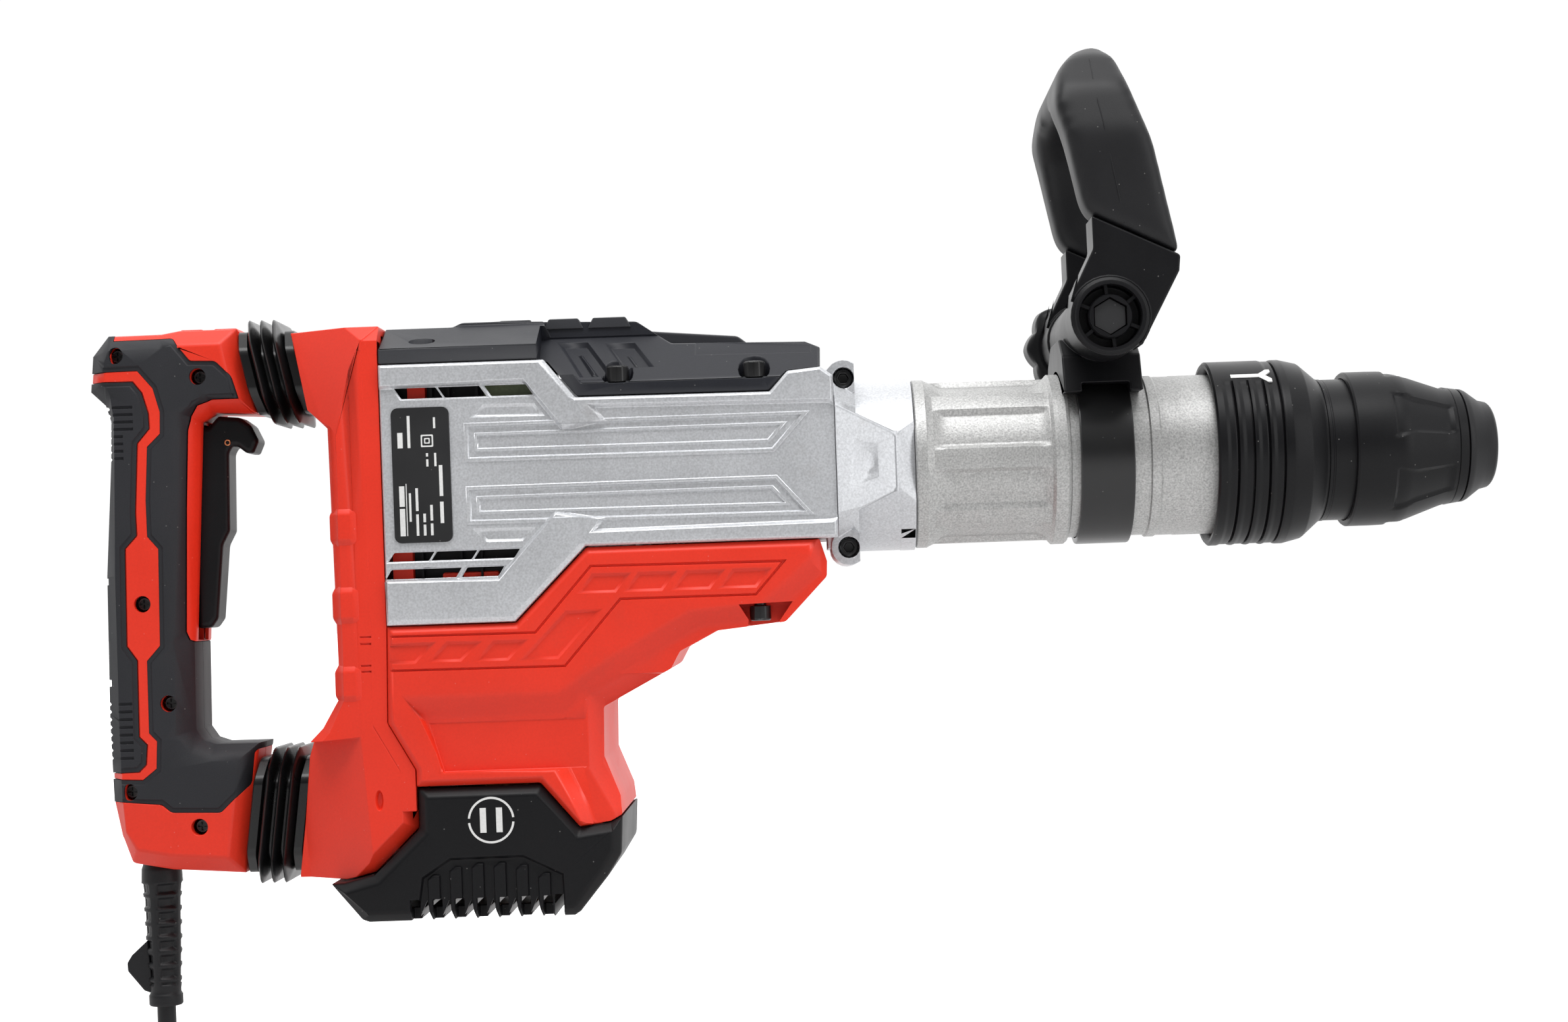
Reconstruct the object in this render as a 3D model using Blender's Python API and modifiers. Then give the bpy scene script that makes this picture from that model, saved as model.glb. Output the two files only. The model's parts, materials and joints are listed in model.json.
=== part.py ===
"""Demolition hammer with an SDS-max style chuck, built as an assembly of separate solids.

Sizes below are in millimetres and each shape is turned into metres when it is made. +X is the way the bit
points, +Z is up, and the hammer axis is the X axis. The origin is where the impact bolt meets the end of
the bit's shank. Right and left are the operator's, so right is -Y.
"""

import math

import bmesh
import bpy
from mathutils import Matrix, Vector

MM = 0.001
GAP = 0.3  # clearance between pieces that touch
WALL = 3.0  # moulded housing wall

# Hammer axis: barrel and front of the case
BARREL_REAR, BARREL_FRONT = -163.2, -12.0
BARREL_R, BARREL_BORE_R = 34.6, 24.5
COLLAR_RING_R = 37.2
BAND_CENTRE_X, BAND_WIDTH = -81.5, 23.0
TOOL_BORE_R = 9.5

# Case and covers
CASE_HALF_WIDTH = 48.0
COVER_SKIN = 3.5
BASE_Z = -187.2
MOTOR_X = -343.4

# Rear handle
GRIP_HALF_WIDTH, GRIP_CHAMFER = 21.0, 7.0
PAD_THICKNESS = 1.8
UPPER_LEAN, LOWER_LEAN = -0.214, 0.134  # how far the bellows' end planes lean along X for each unit of height
TRIGGER_PIVOT = (-481.0, 20.0)

# Drive
CRANK_X, CRANK_RADIUS, ROD_LENGTH = -300.0, 14.0, 65.0
GEAR_TEETH, PINION_TEETH, GEAR_MODULE = 40, 8, 1.8
CYLINDER_BORE_R, CYLINDER_R = 19.0, 24.0

# Side handle
BOLT_X, BOLT_Z = -82.0, 55.5
BOSS_R = 16.5
SEAM_A, SEAM_B = (-89.2, 98.3), (-51.8, 80.4)  # the line where the soft grip ends

COLOURS = {
    "red": ((0.72, 0.045, 0.02), 0.45, 0.0),
    "silver": ((0.62, 0.64, 0.66), 0.35, 0.6),
    "cast": ((0.55, 0.56, 0.57), 0.5, 0.8),
    "black": ((0.012, 0.012, 0.014), 0.4, 0.0),
    "graphite": ((0.035, 0.037, 0.043), 0.5, 0.0),
    "rubber": ((0.028, 0.03, 0.035), 0.7, 0.0),
    "steel": ((0.5, 0.5, 0.52), 0.3, 1.0),
    "dark_steel": ((0.03, 0.03, 0.032), 0.4, 0.7),
    "copper": ((0.6, 0.25, 0.1), 0.4, 1.0),
}

for old in list(bpy.data.objects):
    bpy.data.objects.remove(old)

PARTS = bpy.data.collections.new("demolition_hammer")
bpy.context.scene.collection.children.link(PARTS)


# ---------------------------------------------------------------- shape tools


def material(name):
    """The Principled material for one of COLOURS."""
    found = bpy.data.materials.get(name)
    if found:
        return found
    made = bpy.data.materials.new(name)
    made.use_nodes = True
    colour, roughness, metallic = COLOURS[name]
    shader = made.node_tree.nodes["Principled BSDF"]
    shader.inputs["Base Color"].default_value = (*colour, 1.0)
    shader.inputs["Roughness"].default_value = roughness
    shader.inputs["Metallic"].default_value = metallic
    return made


def from_bmesh(bm):
    """A new object holding bm, with its faces pointing out."""
    bmesh.ops.recalc_face_normals(bm, faces=bm.faces)
    mesh = bpy.data.meshes.new("shape")
    bm.to_mesh(mesh)
    bm.free()
    made = bpy.data.objects.new("shape", mesh)
    PARTS.objects.link(made)
    return made


def bake(obj):
    """Replaces the object by the mesh its modifiers or curve settings make, in world space."""
    bpy.context.view_layer.update()
    graph = bpy.context.evaluated_depsgraph_get()
    mesh = bpy.data.meshes.new_from_object(obj.evaluated_get(graph), depsgraph=graph)
    bm = bmesh.new()
    bm.from_mesh(mesh)
    bmesh.ops.transform(bm, matrix=obj.matrix_world, verts=bm.verts)
    bmesh.ops.remove_doubles(bm, verts=bm.verts, dist=0.002 * MM)
    bpy.data.meshes.remove(mesh)
    bpy.data.objects.remove(obj)
    return from_bmesh(bm)


def combine(target, tool, operation):
    """One exact Boolean, applied. The tool is used up."""
    modifier = target.modifiers.new(operation, "BOOLEAN")
    modifier.operation = operation
    modifier.object = tool
    made = bake(target)
    bpy.data.objects.remove(tool)
    return made


def join(target, *tools):
    for tool in tools:
        target = combine(target, tool, "UNION")
    return target


def cut(target, *tools):
    for tool in tools:
        target = combine(target, tool, "DIFFERENCE")
    return target


def keep(target, *tools):
    for tool in tools:
        target = combine(target, tool, "INTERSECT")
    return target


def copy_of(obj):
    made = bpy.data.objects.new("shape", obj.data.copy())
    PARTS.objects.link(made)
    return made


def placed(a, b, c, along):
    """An outline's pair (a, b) and a position c along the solid's direction, as x, y, z."""
    return {"X": (c, a, b), "Y": (a, c, b), "Z": (a, b, c)}[along]


def prism(outline, start, stop, along="Y", chamfer=0.0, chamfer_start=True, chamfer_stop=True):
    """A solid with a flat outline between two planes, its end edges chamfered at 45 degrees if asked.

    Outline pairs are (x, z) along Y, (y, z) along X and (x, y) along Z.
    """
    curve = bpy.data.curves.new("outline", "CURVE")
    curve.dimensions = "2D"
    curve.fill_mode = "BOTH"
    curve.extrude = (stop - start) / 2 * MM
    spline = curve.splines.new("POLY")
    spline.points.add(len(outline) - 1)
    for point, (a, b) in zip(spline.points, outline):
        point.co = (a * MM, b * MM, 0.0, 1.0)
    spline.use_cyclic_u = True
    made = bpy.data.objects.new("outline", curve)
    PARTS.objects.link(made)
    made.matrix_world = FACING[along]
    made.matrix_world.translation = Vector(placed(0, 0, (start + stop) / 2, along)) * MM
    made = bake(made)
    if chamfer:
        bm = bmesh.new()
        bm.from_mesh(made.data)
        bmesh.ops.dissolve_limit(bm, angle_limit=math.radians(0.5), verts=bm.verts, edges=bm.edges)
        axis = "XYZ".index(along)
        ends = [start] * chamfer_start + [stop] * chamfer_stop
        edges = [
            edge
            for edge in bm.edges
            if any(all(abs(v.co[axis] / MM - end) < 1e-3 for v in edge.verts) for end in ends)
        ]
        bmesh.ops.bevel(bm, geom=edges, offset=chamfer * MM, segments=1, profile=0.5, affect="EDGES")
        bpy.data.objects.remove(made)
        made = from_bmesh(bm)
    return made


def box(low, high):
    bm = bmesh.new()
    middle = (Vector(low) + Vector(high)) / 2 * MM
    sides = (Vector(high) - Vector(low)) * MM
    bmesh.ops.create_cube(bm, size=1.0, matrix=Matrix.Translation(middle) @ Matrix.Diagonal((*sides, 1.0)))
    return from_bmesh(bm)


# Turns a shape's own Z, and an outline's plane, to the direction a piece runs along
FACING = {
    "X": Matrix(((0, 0, 1, 0), (1, 0, 0, 0), (0, 1, 0, 0), (0, 0, 0, 1))),
    "Y": Matrix(((1, 0, 0, 0), (0, 0, 1, 0), (0, 1, 0, 0), (0, 0, 0, 1))),
    "Z": Matrix.Identity(4),
}
AXES = {
    "X": Matrix.Rotation(math.pi / 2, 4, "Y"),
    "Y": Matrix.Rotation(-math.pi / 2, 4, "X"),
    "Z": Matrix.Identity(4),
}


def turned(profile, along="X", centre=(0.0, 0.0), steps=48):
    """A solid of revolution from (position, radius) pairs.

    A profile that starts and ends at radius 0 is solid, and any other is a closed loop round a bore.
    Centre is where the axis crosses the other two directions.
    """
    solid = profile[0][1] == 0.0 and profile[-1][1] == 0.0
    count = len(profile)
    edges = [(i, i + 1) for i in range(count - 1)] + ([] if solid else [(count - 1, 0)])
    mesh = bpy.data.meshes.new("profile")
    mesh.from_pydata([(r * MM, 0, h * MM) for h, r in profile], edges, [])
    made = bpy.data.objects.new("profile", mesh)
    PARTS.objects.link(made)
    screw = made.modifiers.new("Screw", "SCREW")
    screw.steps = screw.render_steps = steps
    screw.use_merge_vertices = True
    screw.merge_threshold = 0.01 * MM
    made.matrix_world = Matrix.Translation(Vector(placed(*centre, 0, along)) * MM) @ AXES[along]
    return bake(made)


def rod(radius, start, stop, along="X", centre=(0.0, 0.0), steps=32):
    """A plain cylinder."""
    bm = bmesh.new()
    length = stop - start
    bmesh.ops.create_cone(
        bm, cap_ends=True, segments=steps, radius1=radius * MM, radius2=radius * MM, depth=length * MM
    )
    made = from_bmesh(bm)
    middle = placed(*centre, (start + stop) / 2, along)
    made.matrix_world = Matrix.Translation(Vector(middle) * MM) @ AXES[along]
    return bake(made)


def wire(points, radius, resolution=1):
    """A round wire or tube from point to point, with closed ends."""
    curve = bpy.data.curves.new("wire", "CURVE")
    curve.dimensions = "3D"
    curve.bevel_depth = radius * MM
    curve.bevel_resolution = resolution
    curve.use_fill_caps = True
    spline = curve.splines.new("POLY")
    spline.points.add(len(points) - 1)
    for knot, point in zip(spline.points, points):
        knot.co = (*(Vector(point) * MM), 1.0)
    made = bpy.data.objects.new("wire", curve)
    PARTS.objects.link(made)
    return bake(made)


def coil(start, stop, centre, mean_radius, wire_radius, turns, points_per_turn=10):
    """A compression spring along X."""
    count = turns * points_per_turn
    points = []
    for i in range(count + 1):
        angle = 2 * math.pi * i / points_per_turn
        across = centre[0] + mean_radius * math.cos(angle)
        up = centre[1] + mean_radius * math.sin(angle)
        points.append((start + (stop - start) * i / count, across, up))
    return wire(points, wire_radius)


def loft(rings):
    """A closed solid through rings of equally many points, in millimetres."""
    bm = bmesh.new()
    rows = [[bm.verts.new(Vector(point) * MM) for point in ring] for ring in rings]
    for first, second in zip(rows, rows[1:]):
        for i in range(len(first)):
            j = (i + 1) % len(first)
            bm.faces.new((first[i], first[j], second[j], second[i]))
    bm.faces.new(rows[0])
    bm.faces.new(rows[-1])
    return from_bmesh(bm)


def inset(outline, distance):
    """The outline moved inwards by a distance, corner by corner."""
    area = sum(a[0] * b[1] - b[0] * a[1] for a, b in zip(outline, outline[1:] + outline[:1]))
    side = 1 if area > 0 else -1
    moved = []
    for i, here in enumerate(outline):
        before, after = Vector(outline[i - 1]), Vector(outline[(i + 1) % len(outline)])
        first = (Vector(here) - before).normalized()
        second = (after - Vector(here)).normalized()
        normal = Vector((-first.y, first.x)) + Vector((-second.y, second.x))
        reach = distance * side * 2 / normal.length_squared
        moved.append((here[0] + normal.x * reach, here[1] + normal.y * reach))
    return moved


def mirrored(outline):
    """An outline of (a, b) pairs with a at 0 or above, closed by its mirror image in a."""
    return outline + [(-a, b) for a, b in reversed(outline) if a > 0]


def polygon(count, radius, centre=(0.0, 0.0), turn=0.0):
    angles = [turn + 2 * math.pi * i / count for i in range(count)]
    return [(centre[0] + radius * math.cos(a), centre[1] + radius * math.sin(a)) for a in angles]


def finish(obj, name, colour, origin=(0.0, 0.0, 0.0)):
    """Names a piece, gives it its material and puts its origin on a point, such as its joint's axis."""
    point = Vector(origin) * MM
    obj.data.transform(Matrix.Translation(-point))
    obj.location = point
    obj.name = obj.data.name = name
    obj.data.materials.clear()
    obj.data.materials.append(material(colour))
    obj.data.shade_smooth()
    obj.data.set_sharp_from_angle(angle=math.radians(30))
    return obj


def half(obj, side):
    """The part of obj on one side of the middle plane: -1 is right and 1 is left."""
    near, far = sorted((side * GAP / 2, side * 200.0))
    return keep(obj, box((-700, near, -400), (200, far, 300)))


# ---------------------------------------------------------------- barrel, chuck and hammer mechanism


def barrel():
    """The cast tube that holds the cylinder and the tool holder, with a seat for the side handle's band."""
    back, front = BAND_CENTRE_X - BAND_WIDTH / 2 - 4.0, BAND_CENTRE_X + BAND_WIDTH / 2 + 7.0
    profile = [
        (BARREL_REAR, COLLAR_RING_R - 0.5),
        (BARREL_REAR + 6, COLLAR_RING_R - 0.5),
        (BARREL_REAR + 8, BARREL_R + 0.7),
        (back - 9, BARREL_R + 0.7),
        (back - 7.6, COLLAR_RING_R),
        (back, COLLAR_RING_R),
        (back, BARREL_R - 0.1),
        (front, BARREL_R - 0.1),
        (front + 4, BARREL_R),
        (BARREL_FRONT, BARREL_R),
        (BARREL_FRONT, BARREL_BORE_R),
        (BARREL_REAR, BARREL_BORE_R),
    ]
    return finish(turned(profile, steps=36), "barrel", "cast")


def cylinder_sleeve():
    """The steel tube the piston and the striker run in."""
    profile = [(-268, CYLINDER_R), (-118, CYLINDER_R), (-118, CYLINDER_BORE_R), (-268, CYLINDER_BORE_R)]
    return finish(turned(profile, steps=32), "cylinder_sleeve", "steel")


def piston_parts():
    """The piston, its pin and the connecting rod, at the crank's back dead centre."""
    pin_x = CRANK_X - CRANK_RADIUS + ROD_LENGTH
    radius = CYLINDER_BORE_R - 0.2
    profile = [
        (pin_x - 13, 0),
        (pin_x - 13, radius),
        (pin_x + 8, radius),
        (pin_x + 8, radius - 1.5),
        (pin_x + 10.5, radius - 1.5),
        (pin_x + 10.5, radius),
        (pin_x + 15, radius),
        (pin_x + 15, 0),
    ]
    slot = box((pin_x - 20, -10, -7.3), (pin_x + 9.2, 10, 7.3))
    body = cut(turned(profile, steps=24), slot, rod(4.3, -30, 30, "Z", (pin_x, 0), 12))
    finish(body, "piston", "steel")
    finish(rod(4.0, -16, 16, "Z", (pin_x, 0), 12), "piston_pin", "steel")
    crank_pin_x = pin_x - ROD_LENGTH
    link = join(
        box((crank_pin_x, -6, -7), (pin_x, 6, 7)),
        rod(11, -7, 7, "Z", (crank_pin_x, 0), 20),
        rod(8.5, -7, 7, "Z", (pin_x, 0), 16),
    )
    link = cut(
        link,
        rod(5.3, -20, 20, "Z", (crank_pin_x, 0), 16),
        rod(4.3, -20, 20, "Z", (pin_x, 0), 12),
    )
    finish(link, "connecting_rod", "steel")


def striker():
    """The free mass that the air cushion throws forwards."""
    radius = CYLINDER_BORE_R - 0.2
    profile = [
        (-200, 0),
        (-200, radius),
        (-190, radius),
        (-190, radius - 1.5),
        (-187, radius - 1.5),
        (-187, radius),
        (-165, radius),
        (-158, 13),
        (-152, 13),
        (-152, 0),
    ]
    return finish(turned(profile, steps=24), "striker", "steel")


def impact_bolt():
    """Passes the striker's blow to the tool. Its front face is the origin."""
    shank_r = TOOL_BORE_R - 0.5
    profile = [
        (-131.5, 0),
        (-131.5, 10.5),
        (-130, 12),
        (-100, 12),
        (-97, 17),
        (-80, 17),
        (-76, 12),
        (-12, 12),
        (-8, shank_r),
        (0, shank_r),
        (0, 0),
    ]
    return finish(turned(profile, steps=24), "impact_bolt", "steel")


HOLDER_R = 16.5
HOLDER_BACK_R = BARREL_BORE_R - GAP
LOCK_X = (52.0, 60.0)
LOCK_HALF_WIDTH = 4.5


def tool_holder():
    """The rotating tube the bit goes in, with two slots for the locking segments."""
    profile = [
        (-62, HOLDER_BACK_R),
        (-15, HOLDER_BACK_R),
        (-11.9, HOLDER_R),
        (77, HOLDER_R),
        (78, HOLDER_R - 1),
        (78, TOOL_BORE_R + 1),
        (77, TOOL_BORE_R),
        (0.5, TOOL_BORE_R),
        (-3, 12.6),
        (-62, 12.6),
    ]
    width = LOCK_HALF_WIDTH + GAP
    slot = box((LOCK_X[0] - GAP, -30, -width), (LOCK_X[1] + GAP, 30, width))
    return finish(cut(turned(profile, steps=24), slot), "tool_holder", "steel")


def lock_segments():
    """Two hardened segments that stand in the grooves of the bit's shank."""
    for name, side in (("lock_segment_right", -1), ("lock_segment_left", 1)):
        inner, outer = TOOL_BORE_R + 0.3, HOLDER_R - 0.2
        low, high = sorted((side * inner, side * outer))
        block = box((LOCK_X[0], low, -LOCK_HALF_WIDTH), (LOCK_X[1], high, LOCK_HALF_WIDTH))
        block = keep(block, rod(outer, LOCK_X[0] - 5, LOCK_X[1] + 5, steps=48))
        finish(block, name, "steel")


def index_ring():
    """The turning ring at the barrel's front, and the neck that the sleeve slides on."""
    profile = [
        (-35, BARREL_R + 0.4),
        (-35, 38.8),
        (-33.5, 40.3),
        (-2.5, 40.3),
        (5, 38.5),
        (12.8, 31.8),
        (13.4, 30.8),
        (26.5, 30.8),
        (26.5, 28),
        (6, 28),
        (6, HOLDER_R + GAP),
        (BARREL_FRONT + GAP, HOLDER_R + GAP),
        (BARREL_FRONT + GAP, BARREL_R + 0.4),
    ]
    return finish(turned(profile, steps=36), "index_ring", "black")


def chuck_sleeve():
    """The sleeve that is pulled back to let go of the bit. Its bore ramps outwards to free the segments."""
    back, front = 25.5, 75.5
    bore, recess = HOLDER_R + GAP, HOLDER_R + GAP + 3.0
    profile = [
        (back, 32.8),
        (back + 1, 33.7),
        (48, 33.7),
        (66, 26.6),
        (front, 24.8),
        (front, bore + 0.2),
        (71, bore + 0.2),
        (71, recess),
        (LOCK_X[0] + 9, recess),
        (LOCK_X[0], bore),
        (46.5, bore),
        (46.5, 31.2),
        (back, 31.2),
    ]
    return finish(turned(profile, steps=30), "chuck_sleeve", "black")


def dust_cap():
    """The rubber cap that keeps dust out of the tool's opening."""
    profile = [
        (75.8, 24.7),
        (77, 24.7),
        (87, 18.6),
        (90.5, 16.4),
        (92, 13.6),
        (92, TOOL_BORE_R + 0.4),
        (88.5, TOOL_BORE_R + 0.4),
        (88.5, 16.9),
        (75.8, 16.9),
    ]
    return finish(turned(profile, steps=24), "dust_cap", "rubber")


def chuck_spring():
    """The spring that pushes the sleeve forwards, drawn as a few open turns."""
    spring = coil(8.2, 44.4, (0, 0), 23.5, 1.3, 4, 10)
    return finish(spring, "chuck_spring", "steel")


# ---------------------------------------------------------------- gear case and drive


def octagon(half_width, top, bottom, corner):
    """A section of the case in Y and Z, its corners cut off."""
    right = [
        (half_width, bottom + corner),
        (half_width, top - corner),
        (half_width - corner, top),
    ]
    return (
        [(half_width - corner, bottom)]
        + right
        + [(-half_width + corner, top), (-half_width, top - corner)]
        + [(-half_width, bottom + corner), (-half_width + corner, bottom)]
    )


CASE_FRONT_X = -197.2
BOSS_Z = 36.0
BOSS_X = -193.0


def gear_case():
    """The casting between the covers: crank chamber at the back, cylinder bore, and the collar in front."""
    sections = [
        (-202.0, 43.6, 40.5, -36.0, 12.0),
        (CASE_FRONT_X, 43.6, 40.5, -36.0, 12.0),
        (CASE_FRONT_X, 47.6, 41.5, -38.0, 16.5),
        (-171.0, 37.4, 37.2, -37.2, 21.8),
    ]
    nose = loft([[(x, y, z) for y, z in octagon(*sizes)] for x, *sizes in sections])
    case = join(
        box((-345, -44.2, -31.4), (-199.5, 44.2, 30.3)),
        nose,
        rod(37.6, -174, -163.5, steps=36),
    )
    for z in (BOSS_Z, -BOSS_Z):
        case = join(case, rod(7.6, -37.5, 37.5, "Y", (BOSS_X, z), 20))
    case = cut(
        case,
        rod(CYLINDER_R + GAP, -320, -150, steps=32),
        rod(39.8, -60, 60, "Z", (CRANK_X, 0), 40),
        rod(12.0, -60, 60, "Z", (MOTOR_X, 0), 20),
    )
    for z in (BOSS_Z, -BOSS_Z):
        for side in (-1, 1):
            near, far = sorted((side * 28.0, side * 60.0))
            case = cut(case, rod(4.6, near, far, "Y", (BOSS_X, z), 16))
    return finish(case, "gear_case", "silver")


def cap_screw(head_r, head_length, shank_r, shank_length, socket_r, steps=12):
    """A socket-head screw along Z: its head starts at 0 and points up, its shank goes down."""
    profile = [
        (-shank_length, 0),
        (-shank_length, shank_r),
        (0, shank_r),
        (0, head_r),
        (head_length - 0.6, head_r),
        (head_length, head_r - 0.6),
        (head_length, 0),
    ]
    screw = turned(profile, "Z", steps=steps)
    return cut(screw, prism(polygon(6, socket_r), head_length - 2.8, head_length + 5, "Z"))


def moved(obj, position, turn=None):
    """Turns a shape built at the origin, then moves it."""
    obj.matrix_world = Matrix.Translation(Vector(position) * MM) @ (turn or Matrix.Identity(4))
    return bake(obj)


def case_screws():
    """Four screws in the case's front corners, along Y."""
    number = 0
    for z in (BOSS_Z, -BOSS_Z):
        for side in (-1, 1):
            number += 1
            turn = Matrix.Rotation(-side * math.pi / 2, 4, "X")
            screw = cap_screw(4.2, 4.0, 2.6, 2.0, 2.3)
            screw = moved(screw, (BOSS_X, side * 30.4, z), turn)
            finish(screw, f"case_screw_{number}", "dark_steel")


def gear_outline(teeth, centre, turn):
    """A spur gear's outline with straight-sided teeth."""
    pitch = teeth * GEAR_MODULE / 2
    tip, root = pitch + GEAR_MODULE * 0.9, pitch - GEAR_MODULE * 1.2
    step = 2 * math.pi / teeth
    outline = []
    for tooth in range(teeth):
        middle = turn + tooth * step
        for share, radius in ((-0.27, root), (-0.12, tip), (0.12, tip), (0.27, root)):
            angle = middle + share * step
            outline.append((centre[0] + radius * math.cos(angle), centre[1] + radius * math.sin(angle)))
    return outline


GEAR_Z = (-34.0, -26.0)


def crank_gear():
    """The big gear, its shaft and the crank pin that stands up from it. The pin stops just under the rod."""
    gear = prism(gear_outline(GEAR_TEETH, (CRANK_X, 0), math.pi), *GEAR_Z, "Z")
    gear = join(
        gear,
        rod(8, -57, GEAR_Z[0] + 1, "Z", (CRANK_X, 0), 24),
        rod(5, GEAR_Z[1] - 1, -7.3, "Z", (CRANK_X - CRANK_RADIUS, 0), 20),
    )
    return finish(gear, "crank_gear", "steel", (CRANK_X, 0, 0))


def armature():
    """Motor shaft with its windings, commutator and pinion."""
    profile = [
        (-180, 0),
        (-180, 4.5),
        (-166, 4.5),
        (-166, 13),
        (-150, 13),
        (-148, 20),
        (-142, 25),
        (-88, 25),
        (-84, 18),
        (-80, 6),
        (-34, 6),
        (-34, 5),
        (-20.5, 5),
        (-20.5, 0),
    ]
    pinion = prism(gear_outline(PINION_TEETH, (0, 0), math.pi / PINION_TEETH), *GEAR_Z, "Z")
    body = join(turned(profile, "Z", steps=16), pinion)
    return finish(moved(body, (MOTOR_X, 0, 0)), "armature", "copper", (MOTOR_X, 0, 0))


def cooling_fan():
    """A hub and disc with eight straight blades, over the windings."""
    disc = turned([(-78, 6.3), (-78, 34), (-76, 34), (-76, 10), (-66, 10), (-66, 6.3)], "Z", steps=16)
    for blade in range(8):
        fin = box((9, -0.8, -76.5), (32, 0.8, -67))
        disc = join(disc, moved(fin, (0, 0, 0), Matrix.Rotation(blade * math.pi / 4, 4, "Z")))
    return finish(moved(disc, (MOTOR_X, 0, 0)), "cooling_fan", "graphite", (MOTOR_X, 0, 0))


def stator():
    """The stack of laminations round the armature."""
    outline = [(-38, -26), (-26, -38), (26, -38), (38, -26), (38, 26), (26, 38), (-26, 38), (-38, 26)]
    block = prism([(MOTOR_X + x, y) for x, y in outline], -128, -84, "Z")
    return finish(cut(block, rod(26, -150, -70, "Z", (MOTOR_X, 0), 24)), "stator", "dark_steel")


def motor_bearings():
    for name, shaft, outer, low, high in (
        ("motor_bearing_upper", 6.3, 13, -60, -50),
        ("motor_bearing_lower", 4.8, 11, -180, -172),
    ):
        ring = turned([(low, shaft), (low, outer), (high, outer), (high, shaft)], "Z", (MOTOR_X, 0), 24)
        finish(ring, name, "steel")


def brushes():
    """Two carbon brushes against the commutator."""
    for name, side in (("brush_right", -1), ("brush_left", 1)):
        near, far = sorted((side * 13.3, side * 36.0))
        finish(box((MOTOR_X - 5, near, -163), (MOTOR_X + 5, far, -153)), name, "graphite")


# ---------------------------------------------------------------- covers

SIDE_COVER = [
    (-388.6, 47.3),
    (-319.0, 47.3),
    (-306.0, 31.0),
    (-224.4, 30.6),
    (-216.6, 39.0),
    (-202.7, 40.3),
    (-197.5, 36.5),
    (-197.5, -31.8),
    (-304.0, -31.8),
    (-334.6, -62.5),
    (-388.6, -62.5),
]
VENT_ROWS = [
    (37.3, 32.8, (-382.4, -364.0, -344.4), 17.5, -3.0),
    (-31.9, -35.6, (-384.6, -366.6, -348.6), 17.0, 2.5),
    (-39.0, -43.0, (-387.0, -371.9, -354.0), 15.5, 2.5),
]
PLATE = ((-384.0, -359.5), (-28.0, 29.0))


def parallelogram(left, top, bottom, length, lean):
    """A slot's outline. Lean is how far its lower edge is set back along X."""
    return [(left, top), (left + length, top), (left + length - lean, bottom), (left - lean, bottom)]


def side_covers():
    """Painted plates over the case's flanks, each with three rows of slanted cooling slots."""
    inner = CASE_HALF_WIDTH - COVER_SKIN
    for name, side in (("side_cover_right", -1), ("side_cover_left", 1)):
        near, far = sorted((side * inner, side * CASE_HALF_WIDTH))
        plate = prism(SIDE_COVER, near, far, "Y", 1.2, side < 0, side > 0)
        for top, bottom, starts, length, lean in VENT_ROWS:
            for left in starts:
                slot = parallelogram(max(left, -386.0), top, bottom, length, lean)
                plate = cut(plate, prism(slot, near - 5, far + 5))
        if side < 0:
            (left, right), (low, high) = PLATE
            plate = cut(plate, box((left - 0.3, far - 60, low - 0.3), (right + 0.3, -47.1, high + 0.3)))
        finish(plate, name, "silver")


def rating_plate():
    """A blank plate let into the right cover."""
    (left, right), (low, high) = PLATE
    plate = box((left, -48.1, low), (right, -47.4, high))
    return finish(plate, "rating_plate", "black")


TOP_COVER = [
    (-388.6, 47.9),
    (-318.8, 47.9),
    (-305.6, 31.6),
    (-224.6, 31.2),
    (-216.8, 39.6),
    (-202.7, 41.0),
    (-202.4, 50.1),
    (-208.8, 53.1),
    (-266.0, 54.4),
    (-281.0, 64.8),
    (-341.0, 66.5),
    (-356.0, 66.5),
    (-360.0, 64.7),
    (-388.6, 64.7),
]
TOP_ROOM = [
    (-386.0, 30),
    (-386.0, 61.5),
    (-284.0, 61.0),
    (-269.0, 51.0),
    (-206.0, 50.0),
    (-206.0, 30),
]
SHOULDER_END = [(-340.0, 30.0), (-299.0, 30.0), (-318.5, 59.0), (-330.0, 95.0), (-340.0, 95.0)]
WIDE_ROOM_END = -323.0  # the room is narrower in front of this, inside the sloped shoulders
TOP_SCREW_X = (-288.4, -230.6)
TOP_SCREW_Y = 40.5


def top_cover():
    """The dark cover over the mechanism, its long edges sloped, with four screw recesses."""
    section = mirrored([(24, 90), (24, 65.0), (45.8, 54.0), (46.2, 20)])
    cover = keep(prism(TOP_COVER, -46, 46), prism(section, -400, -190, "X"))
    for side in (-1, 1):
        shoulder = [(side * y, z) for y, z in ((22, 58.0), (45.0, 37.0), (60, 36.0), (60, 90), (22, 90))]
        shoulder = cut(prism(shoulder, -330, -190, "X"), prism(SHOULDER_END, -70, 70))
        cover = cut(cover, shoulder)
    wide = mirrored([(21, 90), (21, 61.0), (42.5, 50.0), (42.5, 20)])
    narrow = mirrored([(19, 90), (19, 55.0), (34.0, 41.0), (34.0, 20)])
    for outline, start, stop in ((wide, -400, WIDE_ROOM_END), (narrow, WIDE_ROOM_END - 1, -200)):
        room = keep(prism(TOP_ROOM, -42.5, 42.5), prism(outline, start, stop, "X"))
        cover = cut(cover, room)
    for x in TOP_SCREW_X:
        for side in (-1, 1):
            cover = cut(
                cover,
                rod(6.6, 36.6, 80, "Z", (x, side * TOP_SCREW_Y), 16),
                rod(2.6, 20, 80, "Z", (x, side * TOP_SCREW_Y), 12),
            )
    return finish(cover, "top_cover", "graphite")


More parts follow.
